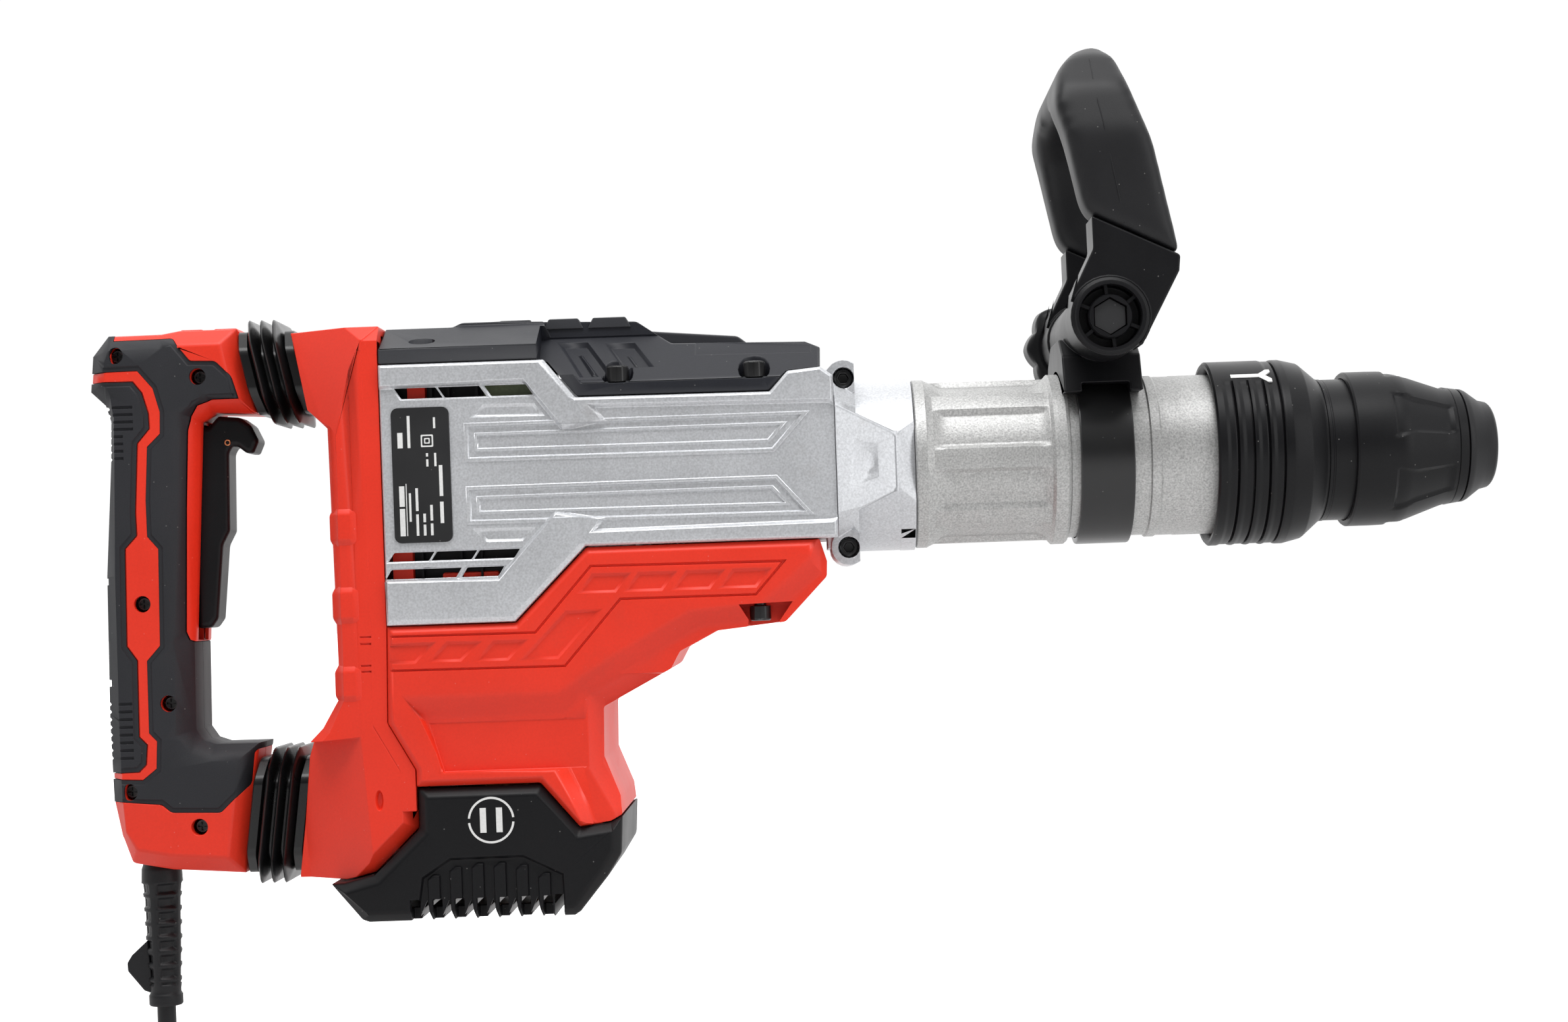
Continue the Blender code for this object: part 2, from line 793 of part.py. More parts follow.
def top_cover_screws():
    """Four screws at the bottom of the cover's recesses."""
    number = 0
    for x in TOP_SCREW_X:
        for side in (-1, 1):
            number += 1
            screw = cap_screw(4.8, 7.0, 2.3, 5.4, 2.6)
            finish(moved(screw, (x, side * TOP_SCREW_Y, 37.0)), f"top_cover_screw_{number}", "dark_steel")


MOTOR_HOUSING = [
    (-388.9, -62.9),
    (-334.5, -62.9),
    (-303.8, -32.2),
    (-205.4, -32.2),
    (-202.6, -41.6),
    (-202.9, -48.0),
    (-220.9, -66.5),
    (-250.0, -69.3),
    (-266.0, -77.5),
    (-270.0, -84.8),
    (-295.5, -100.0),
    (-296.0, -121.0),
    (-289.6, -137.7),
    (-289.0, -145.5),
    (-293.8, -147.9),
    (-308.4, -149.7),
    (-326.6, -130.7),
    (-378.7, -130.7),
    (-378.7, -123.6),
    (-389.9, -103.6),
]
CASE_BOLT = (-231.5, 40.0)


def motor_housing():
    """The housing under the mechanism: a gear deck on top, the motor's room below, open at both ends."""
    body = prism(MOTOR_HOUSING, -47.5, 47.5, "Y", 2.5)
    waist = [(-280, -104), (-280, -122), (-302, -125), (-367, -125), (-373, -104)]
    body = cut(body, prism(waist, 43.4, 60), prism(waist, -60, -43.4))
    gears = [(-386, -20), (-386, -50), (-213, -50), (-209, -45), (-209, -20)]
    motor = [(-386, -60), (-276, -60), (-276, -83), (-300, -100), (-300, -160), (-386, -160)]
    body = cut(
        body,
        prism(gears, -43.5, 43.5),
        prism(motor, -40.0, 40.0),
        rod(13.3, -70, -45, "Z", (MOTOR_X, 0), 24),
        rod(8.3, -70, -45, "Z", (CRANK_X, 0), 24),
    )
    for side in (-1, 1):
        where = (CASE_BOLT[0], side * CASE_BOLT[1])
        body = cut(body, rod(6.5, -90, -59.0, "Z", where, 20), rod(2.9, -90, -30, "Z", where, 12))
    return finish(body, "motor_housing", "red")


def case_bolts():
    """Two screws that pull the motor housing up against the gear case."""
    half_turn = Matrix.Rotation(math.pi, 4, "X")
    for name, side in (("case_bolt_right", -1), ("case_bolt_left", 1)):
        bolt = moved(cap_screw(4.6, 6.4, 2.6, 14.0, 2.5), (0, 0, 0), half_turn)
        finish(moved(bolt, (CASE_BOLT[0], side * CASE_BOLT[1], -59.4)), name, "dark_steel")


BASE_COVER = [
    (-416.4, -170.6),
    (-410.8, -170.2),
    (-397.6, -166.9),
    (-378.4, -148.6),
    (-378.4, -131.2),
    (-326.4, -131.2),
    (-308.2, -150.1),
    (-293.9, -148.4),
    (-288.6, -146.0),
    (-289.5, -161.7),
    (-295.5, -171.0),
    (-309.3, -185.6),
    (-313.0, BASE_Z),
    (-400.8, BASE_Z),
    (-403.6, -186.2),
]


def base_cover():
    """The black cover under the motor. Its underside is the face the hammer can stand on."""
    cover = prism(BASE_COVER, -CASE_HALF_WIDTH, CASE_HALF_WIDTH, "Y", 4.0)
    room = [(-398, -163), (-398, -182), (-312, -182), (-296, -165), (-296, -120), (-374, -120), (-374, -150)]
    cover = cut(cover, prism(room, -44.0, 44.0))
    for rib in range(7):
        x = -382.6 + rib * 9.3
        cover = cut(cover, box((x, -60, -190), (x + 4.0, -38, -178)), box((x, 38, -190), (x + 4.0, 60, -178)))
    return finish(cover, "base_cover", "black")


REAR_COVER = [
    (-429.7, 64.6),
    (-422.2, 30.3),
    (-419.4, 22.0),
    (-419.4, -92.0),
    (-423.8, -105.0),
    (-426.9, -117.5),
    (-433.5, -169.4),
    (-411.1, -169.7),
    (-397.9, -166.5),
    (-379.1, -148.3),
    (-379.1, -123.4),
    (-390.3, -103.5),
    (-389.3, -63.0),
    (-389.3, 64.6),
]
REAR_ROOM = [
    (-426.0, 61.0),
    (-418.0, 33.0),
    (-416.4, 22.0),
    (-416.4, -92.0),
    (-420.4, -107.0),
    (-424.0, -120.0),
    (-429.0, -165.0),
    (-412.0, -165.5),
    (-399.5, -162.6),
    (-382.0, -146.0),
    (-370.0, -122.0),
    (-380.0, -103.0),
    (-380.0, 61.0),
]
UPPER_ROD_Z, LOWER_ROD_Z = 49.0, -143.0
# The flares from each stub to the case: a point on the crease, its lean in degrees, and its ends along it
STUB_FLARES = [(-398.0, 54.0, 23.0, -52.0, 30.0), (-399.0, -140.0, -4.0, -50.0, 31.0)]


def flare(side, outer, inner, low, high):
    """What is cut off a flank between the case's crease, at x = 0, and the narrower stub."""
    outline = [(0, outer), (-32, inner), (-60, inner), (-60, 80), (0, 80)]
    return prism([(x, side * y) for x, y in outline], low, high, "Z")


def rear_cover():
    """The red cup behind the motor and mechanism, with a stub towards each arm of the handle."""
    cover = prism(REAR_COVER, -45, 45, "Y", 6.0)
    room = prism(REAR_ROOM, -41.0, 41.0)
    for x, z, lean, low, high in STUB_FLARES:
        for side in (-1, 1):
            turn = Matrix.Rotation(math.radians(lean), 4, "Y")
            cover = cut(cover, moved(flare(side, 45.2, 24.0, low, high), (x, 0, z), turn))
            room = cut(room, moved(flare(side, 41.0, 19.5, low - 3, high + 3), (x, 0, z), turn))
    cover = cut(cover, room)
    for z in (UPPER_ROD_Z, LOWER_ROD_Z):
        cover = cut(cover, rod(6.4, -450, -400, "X", (0, z), 20))
    return finish(cover, "rear_cover", "red")


# ---------------------------------------------------------------- rear handle and its isolation


def bellows(name, lean, z_middle, x_middle, half_height, half_width):
    """A folded rubber sleeve between a handle arm and the case, leaning with the case's back face."""
    length, collar, folds = 24.4, 4.2, 3
    stations = [(0, 0), (collar, 0)]
    pitch = (length - 2 * collar) / folds
    for fold in range(folds):
        start = collar + fold * pitch
        stations += [(start + pitch * 0.5, 4.6), (start + pitch * 0.96, 0 if fold == folds - 1 else -1.5)]
    stations += [(length, 0)]
    rings = []
    for along, out in stations:
        tall, wide = half_height + out, half_width + out
        corner = 9.0
        section = [(wide, -tall + corner), (wide, tall - corner), (wide - corner, tall)]
        section += [(-y, z) for y, z in reversed(section)]
        section += [(-wide + corner, -tall), (wide - corner, -tall)]
        rings.append([(x_middle - length / 2 + along + lean * z, y, z_middle + z) for y, z in section])
    body = cut(loft(rings), rod(13.5, x_middle - 40, x_middle + 40, "X", (0, z_middle), 20))
    return finish(body, name, "rubber")


def both_bellows():
    bellows("bellows_upper", UPPER_LEAN, 49.0, -438.8, 18.2, 22.0)
    bellows("bellows_lower", LOWER_LEAN, LOWER_ROD_Z, -442.6, 25.0, 22.0)


def isolators():
    """The two rods the handle slides on, and their springs."""
    for name, z, middle in (("upper", UPPER_ROD_Z, -438.8), ("lower", LOWER_ROD_Z, -442.6)):
        pin = turned(
            [
                (middle - 33, 0),
                (middle - 33, 6),
                (middle + 30, 6),
                (middle + 30, 8.6),
                (middle + 33, 8.6),
                (middle + 33, 0),
            ],
            "X",
            (0, z),
            16,
        )
        finish(pin, f"isolator_rod_{name}", "steel")
        spring = coil(middle - 9.4, middle + 9.4, (0, z), 9.4, 1.3, 3, 8)
        finish(spring, f"isolator_spring_{name}", "steel")


HANDLE = [
    (-455.6, 68.5),
    (-480.0, 68.5),
    (-488.0, 67.2),
    (-514.4, 67.0),
    (-521.5, 58.3),
    (-522.9, 43.0),
    (-516.7, 37.0),
    (-514.6, 30.0),
    (-515.2, 13.4),
    (-518.7, -37.0),
    (-519.6, -100.0),
    (-518.9, -135.0),
    (-516.0, -150.5),
    (-508.0, -162.0),
    (-491.0, -165.3),
    (-459.2, -167.8),
    (-452.2, -116.5),
    (-451.5, -111.6),
    (-470.0, -111.5),
    (-475.3, -109.6),
    (-478.6, -104.6),
    (-478.0, -66.0),
    (-474.0, -2.0),
    (-472.4, 28.6),
    (-467.0, 32.8),
    (-447.9, 31.8),
]
UPPER_PAD = [
    (-508.0, 80.0),
    (-508.0, 64.6),
    (-482.2, 64.9),
    (-474.2, 54.6),
    (-463.4, 54.2),
    (-456.9, 47.6),
    (-453.7, 36.4),
    (-449.0, 31.0),
    (-466.4, 20.0),
    (-460.0, -11.0),
    (-470.0, -66.0),
    (-470.0, -100.0),
    (-455.0, -100.0),
    (-447.0, -110.4),
    (-453.3, -115.3),
    (-455.0, -129.0),
    (-467.5, -140.9),
    (-488.8, -140.2),
    (-493.0, -136.6),
    (-512.0, -135.0),
    (-540.0, -135.0),
    (-540.0, 46.5),
    (-530.0, 80.0),
]
HANDLE_ROOM = [
    (-461.0, 63.0),
    (-511.0, 62.0),
    (-516.0, 55.0),
    (-516.5, 44.0),
    (-510.0, 36.0),
    (-509.5, 12.0),
    (-513.0, -37.0),
    (-514.0, -100.0),
    (-513.0, -134.0),
    (-510.0, -148.0),
    (-503.0, -156.0),
    (-490.0, -160.0),
    (-464.5, -162.0),
    (-458.0, -117.5),
    (-479.0, -114.5),
    (-483.5, -106.0),
    (-483.0, -66.0),
    (-479.0, 0.0),
    (-477.5, 31.0),
    (-469.0, 38.0),
    (-455.0, 37.5),
]


def handle_shells():
    """Left and right halves of the D handle, and the soft skin let into each."""
    whole = prism(HANDLE, -GRIP_HALF_WIDTH, GRIP_HALF_WIDTH, "Y", GRIP_CHAMFER)
    core_half = GRIP_HALF_WIDTH - PAD_THICKNESS
    core = prism(inset(HANDLE, PAD_THICKNESS), -core_half, core_half, "Y", GRIP_CHAMFER)
    lining = PAD_THICKNESS - GAP
    loose = prism(inset(HANDLE, lining), -core_half - GAP, core_half + GAP, "Y", GRIP_CHAMFER)
    skin = cut(keep(copy_of(whole), prism(inset(UPPER_PAD, GAP / 2), -60, 60)), loose)
    shell = join(cut(whole, prism(UPPER_PAD, -60, 60)), core)
    wall = PAD_THICKNESS + WALL
    room_half = GRIP_HALF_WIDTH - wall
    shell = cut(
        shell,
        rod(6.3, -480, -430, "X", (0, UPPER_ROD_Z), 20),
        rod(6.3, -480, -430, "X", (0, LOWER_ROD_Z), 20),
        box((-492, -9.0, -66), (-460, 9.0, 29)),
        rod(8.3, -172, -150, "Z", (CORD_X, 0), 24),
        prism(HANDLE_ROOM, -room_half, room_half, "Y", 3.0),
    )
    skin = cut(skin, box((-492, -9.3, -66.3), (-440, 9.3, 29.3)))
    for name, side in (("right", -1), ("left", 1)):
        finish(half(copy_of(shell), side), f"handle_shell_{name}", "red")
        finish(half(copy_of(skin), side), f"grip_skin_{name}", "rubber")
    bpy.data.objects.remove(shell)
    bpy.data.objects.remove(skin)


TRIGGER = [
    (-486.0, 27.5),
    (-470.7, 26.7),
    (-465.3, 31.4),
    (-453.4, 30.5),
    (-448.5, 26.8),
    (-445.3, 20.0),
    (-447.7, 14.6),
    (-450.9, 14.7),
    (-454.5, 17.7),
    (-457.7, 17.8),
    (-459.8, 15.0),
    (-460.7, -19.0),
    (-464.8, -25.0),
    (-468.8, -57.0),
    (-472.0, -61.0),
    (-478.0, -61.0),
    (-478.0, 8.0),
    (-486.0, 12.0),
]


def trigger():
    """The trigger, hung on two stubs at its top. Pulling turns its lower end back."""
    body = prism(TRIGGER, -8.2, 8.2, "Y", 1.5)
    body = join(body, rod(2.5, -12.0, 12.0, "Y", TRIGGER_PIVOT, 16))
    return finish(body, "trigger", "black", (TRIGGER_PIVOT[0], 0, TRIGGER_PIVOT[1]))


def trigger_switch():
    body = join(box((-508, -12, -58), (-493.5, 12, -12)), box((-494, -3, -30), (-491.5, 3, -24)))
    return finish(body, "trigger_switch", "graphite")


CORD_X = -499.5


def cord_parts():
    """The bending sleeve under the handle and the cable, cut off plainly below it."""
    profile = [
        (-151, 7.9),
        (-172, 7.9),
        (-172, 9.2),
        (-178, 8.2),
        (-199, 7.7),
        (-219, 6.8),
        (-222, 7.4),
        (-226, 7.4),
        (-226, 4.4),
        (-151, 4.4),
    ]
    finish(turned(profile, "Z", (CORD_X, 0), 16), "cord_sleeve", "rubber")
    cable = rod(4.0, -246, -140, "Z", (CORD_X, 0), 20)
    finish(cable, "power_cord", "rubber")


# ---------------------------------------------------------------- side handle


def clamp_band():
    """The steel strap round the barrel, its two ends brought up towards the bolt."""
    low, high = BAND_CENTRE_X - BAND_WIDTH / 2, BAND_CENTRE_X + BAND_WIDTH / 2
    inner, outer = BARREL_R + 0.3, BARREL_R + 2.9
    strap = turned([(low, inner), (low, outer), (high, outer), (high, inner)], steps=36)
    return finish(strap, "clamp_band", "dark_steel")


CLAMP_HALF_WIDTH = 36.0


def clamp_block():
    """The saddle between the strap and the handle's legs."""
    saddle = [(44, 20), (44, 27.1), (36, 42.7), (20, 51), (-20, 51), (-36, 42.7), (-44, 27.1), (-44, 20)]
    block = prism([(y * 0.82, z) for y, z in saddle], -99.2, -65.6, "X")
    block = join(block, rod(BOSS_R - 1, -CLAMP_HALF_WIDTH, CLAMP_HALF_WIDTH, "Y", (BOLT_X, BOLT_Z), 32))
    block = cut(
        block,
        rod(COLLAR_RING_R + 0.5, -120, -50, "X", steps=56),
        rod(5.4, -60, 60, "Y", (BOLT_X, BOLT_Z), 20),
        box((-120, -60, 10), (-50, 60, 26.6)),
        box((-91.6, -60, 20), (-71.2, 60, 30.6)),
    )
    return finish(block, "clamp_block", "black")


SIDE_HANDLE = [
    (-88.2, 98.5),
    (-91.0, 102.0),
    (-97.2, 132.0),
    (-101.0, 146.0),
    (-98.5, 161.0),
    (-90.5, 171.5),
    (-80.0, 176.2),
    (-74.0, 168.0),
    (-69.0, 150.0),
    (-61.5, 128.0),
    (-51.8, 81.0),
    (-52.5, 73.6),
    (-60.8, 58.3),
    (-69.0, 43.0),
    (-98.0, 57.0),
    (-96.5, 67.0),
    (-88.0, 84.0),
]
LOOP_OUTER = [(62, 20), (62, 132), (56, 153), (43, 168), (26, 175.5)]
LOOP_INNER = [(40, 10), (40, 122), (36, 136), (27, 146), (12, 150)]


def above_seam(offset):
    """A big block above the seam between the grip and its legs, moved up by an offset."""
    run = Vector(SEAM_B) - Vector(SEAM_A)
    up = Vector((-run.y, run.x)).normalized()
    a = Vector(SEAM_A) - run * 3 + up * offset
    b = Vector(SEAM_B) + run * 3 + up * offset
    return prism([tuple(a), tuple(b), tuple(b + up * 300), tuple(a + up * 300)], -90, 90)


CORE_PATH = [(-70, 51, 88), (-82, 50.5, 132), (-85, 38, 155), (-86, 12, 162.5)]


def side_handle_parts():
    """The D shaped side handle: stiff legs with a core inside the loop, and a soft grip moulded over it."""
    loop = keep(prism(SIDE_HANDLE, -64, 64, "Y"), prism(mirrored(LOOP_OUTER), -160, 0, "X"))
    loop = cut(loop, prism(mirrored(LOOP_INNER), -160, 0, "X"))
    core_path = CORE_PATH + [(x, -y, z) for x, y, z in reversed(CORE_PATH)]
    legs = cut(copy_of(loop), above_seam(-GAP / 2))
    for side in (-1, 1):
        near, far = sorted((side * 36.4, side * 63.5))
        legs = join(legs, rod(BOSS_R, near, far, "Y", (BOLT_X, BOLT_Z), 32))
    legs = join(legs, wire(core_path, 6.0))
    cup_low, cup_high = -70, -56.5
    legs = cut(
        legs,
        rod(13.0, cup_low, cup_high, "Y", (BOLT_X, BOLT_Z), 32),
        rod(5.4, -90, 90, "Y", (BOLT_X, BOLT_Z), 20),
    )
    finish(legs, "side_handle_base", "black", (BOLT_X, 0, BOLT_Z))
    grip = keep(loop, above_seam(GAP / 2))
    grip = cut(grip, wire(core_path, 6.3))
    finish(grip, "side_handle_grip", "rubber", (BOLT_X, 0, BOLT_Z))


def clamp_bolt():
    """The bolt through the legs and the block, its hexagonal head at the bottom of the right leg's cup."""
    bolt = join(
        rod(5.0, -57, 80.5, "Y", (BOLT_X, BOLT_Z), 20),
        prism(polygon(6, 7.5, (BOLT_X, BOLT_Z), math.pi / 6), -62.0, -56.9),
    )
    return finish(bolt, "clamp_bolt", "dark_steel", (BOLT_X, 0, BOLT_Z))


def clamp_knob():
    """The lobed knob on the left, which draws the strap tight."""
    profile = [
        (63.9, 0),
        (63.9, 18),
        (66, 22.5),
        (80, 23.5),
        (83, 20),
        (83, 0),
    ]
    knob = turned(profile, "Y", (BOLT_X, BOLT_Z), 32)
    for centre in polygon(8, 27.0, (BOLT_X, BOLT_Z)):
        knob = cut(knob, rod(6, 60, 90, "Y", centre, 12))
    knob = cut(knob, rod(5.4, 50, 81, "Y", (BOLT_X, BOLT_Z), 20))
    return finish(knob, "clamp_knob", "black", (BOLT_X, 0, BOLT_Z))


barrel()
cylinder_sleeve()
piston_parts()
striker()
impact_bolt()
tool_holder()
lock_segments()
index_ring()
chuck_sleeve()
dust_cap()
chuck_spring()
gear_case()
case_screws()
crank_gear()
armature()
cooling_fan()
stator()
motor_bearings()
brushes()
side_covers()
rating_plate()
top_cover()
top_cover_screws()
motor_housing()
case_bolts()
base_cover()
rear_cover()
both_bellows()
isolators()
handle_shells()
trigger()
trigger_switch()
cord_parts()
clamp_band()
clamp_block()
side_handle_parts()
clamp_bolt()
clamp_knob()
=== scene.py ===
"""Looks for the demolition hammer: fine surfaces, materials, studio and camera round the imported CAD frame.

Lengths below are millimetres in the CAD frame (+X towards the bit, +Z up, right side at -Y) and are turned
into metres where a mesh is made. Pieces with relief start as a copy of their CAD node, are cut and softened,
and stand in for it; round pieces are turned again with finer detail.
"""

import json
import math

import bmesh
import bpy
from mathutils import Matrix, Vector
from mathutils.geometry import delaunay_2d_cdt

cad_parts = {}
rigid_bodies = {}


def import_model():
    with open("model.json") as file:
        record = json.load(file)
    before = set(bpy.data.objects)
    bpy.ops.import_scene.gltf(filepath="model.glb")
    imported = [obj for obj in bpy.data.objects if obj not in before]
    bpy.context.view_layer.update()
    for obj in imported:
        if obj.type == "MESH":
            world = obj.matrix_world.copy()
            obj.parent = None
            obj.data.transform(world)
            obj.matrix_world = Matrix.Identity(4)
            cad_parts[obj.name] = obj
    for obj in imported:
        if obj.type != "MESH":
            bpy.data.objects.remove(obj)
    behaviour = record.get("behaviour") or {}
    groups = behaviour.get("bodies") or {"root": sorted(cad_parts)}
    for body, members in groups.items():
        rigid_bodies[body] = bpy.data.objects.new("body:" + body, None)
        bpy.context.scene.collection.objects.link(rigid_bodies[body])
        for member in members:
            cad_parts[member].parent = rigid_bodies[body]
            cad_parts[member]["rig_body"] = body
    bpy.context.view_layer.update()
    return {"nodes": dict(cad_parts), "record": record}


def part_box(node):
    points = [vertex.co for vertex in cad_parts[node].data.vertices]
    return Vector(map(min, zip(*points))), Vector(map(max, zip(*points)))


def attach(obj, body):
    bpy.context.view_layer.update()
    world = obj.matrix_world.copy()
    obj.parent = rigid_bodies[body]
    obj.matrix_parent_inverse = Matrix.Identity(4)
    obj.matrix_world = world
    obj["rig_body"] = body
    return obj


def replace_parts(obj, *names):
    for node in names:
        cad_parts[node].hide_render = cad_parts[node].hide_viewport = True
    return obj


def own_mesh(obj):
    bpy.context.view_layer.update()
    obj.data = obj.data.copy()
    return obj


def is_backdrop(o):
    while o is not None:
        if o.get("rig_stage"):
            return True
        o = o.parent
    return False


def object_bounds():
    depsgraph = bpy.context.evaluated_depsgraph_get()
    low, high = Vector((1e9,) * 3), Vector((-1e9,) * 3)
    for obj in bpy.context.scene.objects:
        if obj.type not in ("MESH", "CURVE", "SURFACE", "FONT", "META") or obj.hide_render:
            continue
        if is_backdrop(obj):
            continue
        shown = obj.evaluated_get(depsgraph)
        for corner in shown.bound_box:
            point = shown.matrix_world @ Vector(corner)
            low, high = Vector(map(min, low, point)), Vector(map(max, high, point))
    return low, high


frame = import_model()
MM = 0.001
SIDES = {"right": -1, "left": 1}
SLOTS = {entry["node"]: entry["material_slot"] for entry in frame["record"]["subparts"]}

# Hammer axis
BARREL_R, BORE_R = 34.6, 24.5
FLANGE_R, RING_R = 36.8, 37.2
HOLDER_R = 16.5
# Flanks of the case
COVER_Y, FIELD_Y = 48.0, 46.6
HOUSING_Y, REAR_Y = 47.5, 45.0
# Rear handle
GRIP_Y = 21.0
# Side handle
BOLT = (-82.0, 55.5)


# ---- shape tools


def shape(bm, outward=True):
    """A new object holding bm, its faces pointing out."""
    if outward:
        bmesh.ops.recalc_face_normals(bm, faces=bm.faces)
    mesh = bpy.data.meshes.new("shape")
    bm.to_mesh(mesh)
    bm.free()
    made = bpy.data.objects.new("shape", mesh)
    bpy.context.scene.collection.objects.link(made)
    return made


def bake(obj):
    """Replaces the object's mesh by what its modifiers make."""
    bpy.context.view_layer.update()
    graph = bpy.context.evaluated_depsgraph_get()
    mesh = bpy.data.meshes.new_from_object(obj.evaluated_get(graph), depsgraph=graph)
    obj.modifiers.clear()
    obj.data = mesh
    return obj


def copy_node(node):
    """A free copy of a CAD node's mesh, welded, its flat faces whole again."""
    made = bpy.data.objects.new(f"{node}_look", frame["nodes"][node].data.copy())
    bpy.context.scene.collection.objects.link(made)
    made.data.materials.clear()
    for name in [a.name for a in made.data.attributes if a.name == "custom_normal"]:
        made.data.attributes.remove(made.data.attributes[name])
    bm = bmesh.new()
    bm.from_mesh(made.data)
    bmesh.ops.remove_doubles(bm, verts=bm.verts, dist=0.01 * MM)
    bmesh.ops.dissolve_limit(bm, angle_limit=math.radians(1.0), verts=bm.verts, edges=bm.edges)
    bm.to_mesh(made.data)
    bm.free()
    return made


def merge(*objs):
    """One object holding all the meshes, without a Boolean."""
    bm = bmesh.new()
    for obj in objs:
        bm.from_mesh(obj.data)
        bpy.data.objects.remove(obj)
    return shape(bm, False)


def volume(mesh):
    bm = bmesh.new()
    bm.from_mesh(mesh)
    total = bm.calc_volume()
    bm.free()
    return total


VOLUME_KEPT = {"DIFFERENCE": (0.3, 1.001), "INTERSECT": (0.0, 1.001), "UNION": (1.0, 2.0)}


def boolean(obj, tools, operation="DIFFERENCE"):
    """Booleans with one tool after another; the tools are used up.

    The exact solver can drop a piece whose bevels touch each other, which shows in the share of the volume that
    is left. The fast one is tried then, and a step that neither can do is left out.
    """
    least, most = VOLUME_KEPT[operation]
    for tool in tools:
        before = obj.data
        size = volume(before)
        for solver in ("EXACT", "FAST"):
            obj.data = before
            modifier = obj.modifiers.new("boolean", "BOOLEAN")
            modifier.operation = operation
            modifier.object = tool
            modifier.solver = solver
            bake(obj)
            if least * size < volume(obj.data) < most * size:
                break
        else:
            obj.data = before
        bpy.data.objects.remove(tool)
    return obj


def cut(obj, *tools):
    return boolean(obj, tools)


def keep(obj, *tools):
    return boolean(obj, tools, "INTERSECT")


def placed(a, b, c, along):
    """The point at (a, b) on a section that stands at c along an axis."""
    return {"X": (c, a, b), "Y": (a, c, b), "Z": (a, b, c)}[along]


def loft(rings, closed_loop=False):
    """A solid skin through rings of equally many points. A closed loop joins the last ring to the first."""
    bm = bmesh.new()
    rows = [[bm.verts.new(Vector(point) * MM) for point in ring] for ring in rings]
    for first, second in zip(rows, rows[1:] + rows[:closed_loop]):
        for i in range(len(first)):
            j = (i + 1) % len(first)
            bm.faces.new((first[i], first[j], second[j], second[i]))
    if not closed_loop:
        bm.faces.new(rows[0])
        bm.faces.new(rows[-1])
    return shape(bm)


def rect(x0, z0, x1, z1):
    return [(x0, z0), (x1, z0), (x1, z1), (x0, z1)]


def arc(x, z, radius, start, stop, steps):
    """Points along part of a circle, both ends included."""
    angles = [start + (stop - start) * i / steps for i in range(steps + 1)]
    return [(x + radius * math.cos(a), z + radius * math.sin(a)) for a in angles]


def around(steps):
    return [2 * math.pi * i / steps for i in range(steps)]


def oval(centre, wide, tall, steps=16):
    return [(centre[0] + wide * math.cos(a), centre[1] + tall * math.sin(a)) for a in around(steps)]


def rounded(low, high, radius, steps=6):
    """A rectangle's outline with round corners."""
    outline = []
    for x, z, quarter in ((high[0], high[1], 0), (low[0], high[1], 1), (low[0], low[1], 2), (high[0], low[1], 3)):
        x -= math.copysign(radius, x - (low[0] + high[0]) / 2)
        z -= math.copysign(radius, z - (low[1] + high[1]) / 2)
        outline += arc(x, z, radius, quarter * math.pi / 2, (quarter + 1) * math.pi / 2, steps)
    return outline


def spun(outline, angle, centre):
    """An outline turned about the origin, then moved to centre."""
    cos, sin = math.cos(angle), math.sin(angle)
    return [(centre[0] + x * cos - z * sin, centre[1] + x * sin + z * cos) for x, z in outline]


def prism(outline, start, stop, along="Y"):
    return loft([[placed(a, b, c, along) for a, b in outline] for c in (start, stop)])


def inset(outline, distance):
    """The outline moved inwards, by one distance or by one for each edge; edge i starts at corner i."""
    area = sum(a[0] * b[1] - b[0] * a[1] for a, b in zip(outline, outline[1:] + outline[:1]))
    side = 1 if area > 0 else -1
    count = len(outline)
    reach = distance if isinstance(distance, (list, tuple)) else [distance] * count
    moved = []
    for i in range(count):
        here = Vector(outline[i])
        first = (here - Vector(outline[i - 1])).normalized()
        second = (Vector(outline[(i + 1) % count]) - here).normalized()
        a, b = Vector((-first.y, first.x)) * side, Vector((-second.y, second.x)) * side
        turn = a.x * b.y - a.y * b.x
        if abs(turn) < 0.02:
            step = a * reach[i]
        else:
            u, v = reach[i - 1], reach[i]
            step = Vector(((u * b.y - v * a.y) / turn, (v * a.x - u * b.x) / turn))
        moved.append((here.x + step.x, here.y + step.y))
    return moved


def flank(outline, side, near, far, slope=0.0):
    """A block on one flank with its outline at |y| = near, drawn in by slope at |y| = far."""
    other = inset(outline, slope) if slope else outline
    return loft([[(x, side * y, z) for x, z in line] for line, y in ((outline, near), (other, far))])


# A recess wall's profile: share of its width, share of its depth
LIP = ((0.0, 0.0), (0.24, 0.12), (0.76, 0.88), (1.0, 1.0))


def pit(outline, depth, slope):
    """A recess with sloped walls, or a raised field when depth is below 0.

    Slope is the walls' width, one for all or one for each edge.
    """
    slopes = list(slope) if isinstance(slope, (list, tuple)) else [slope] * len(outline)
    return outline, depth, slopes


def pit_depth(recess, x, z):
    """How deep one recess is at a point."""
    outline, depth, slopes = recess
    inside, nearest = False, 1.0
    for (x0, z0), (x1, z1), slope in zip(outline, outline[1:] + outline[:1], slopes):
        if (z0 > z) != (z1 > z) and x < (x1 - x0) * (z - z0) / (z1 - z0) + x0:
            inside = not inside
        run_x, run_z = x1 - x0, z1 - z0
        along = ((x - x0) * run_x + (z - z0) * run_z) / (run_x * run_x + run_z * run_z)
        along = min(1.0, max(0.0, along))
        nearest = min(nearest, math.hypot(x - x0 - run_x * along, z - z0 - run_z * along) / slope)
    if not inside:
        return 0.0
    for (a, low), (b, high) in zip(LIP, LIP[1:]):
        if nearest <= b:
            return depth * (low + (high - low) * (nearest - a) / (b - a))
    return depth


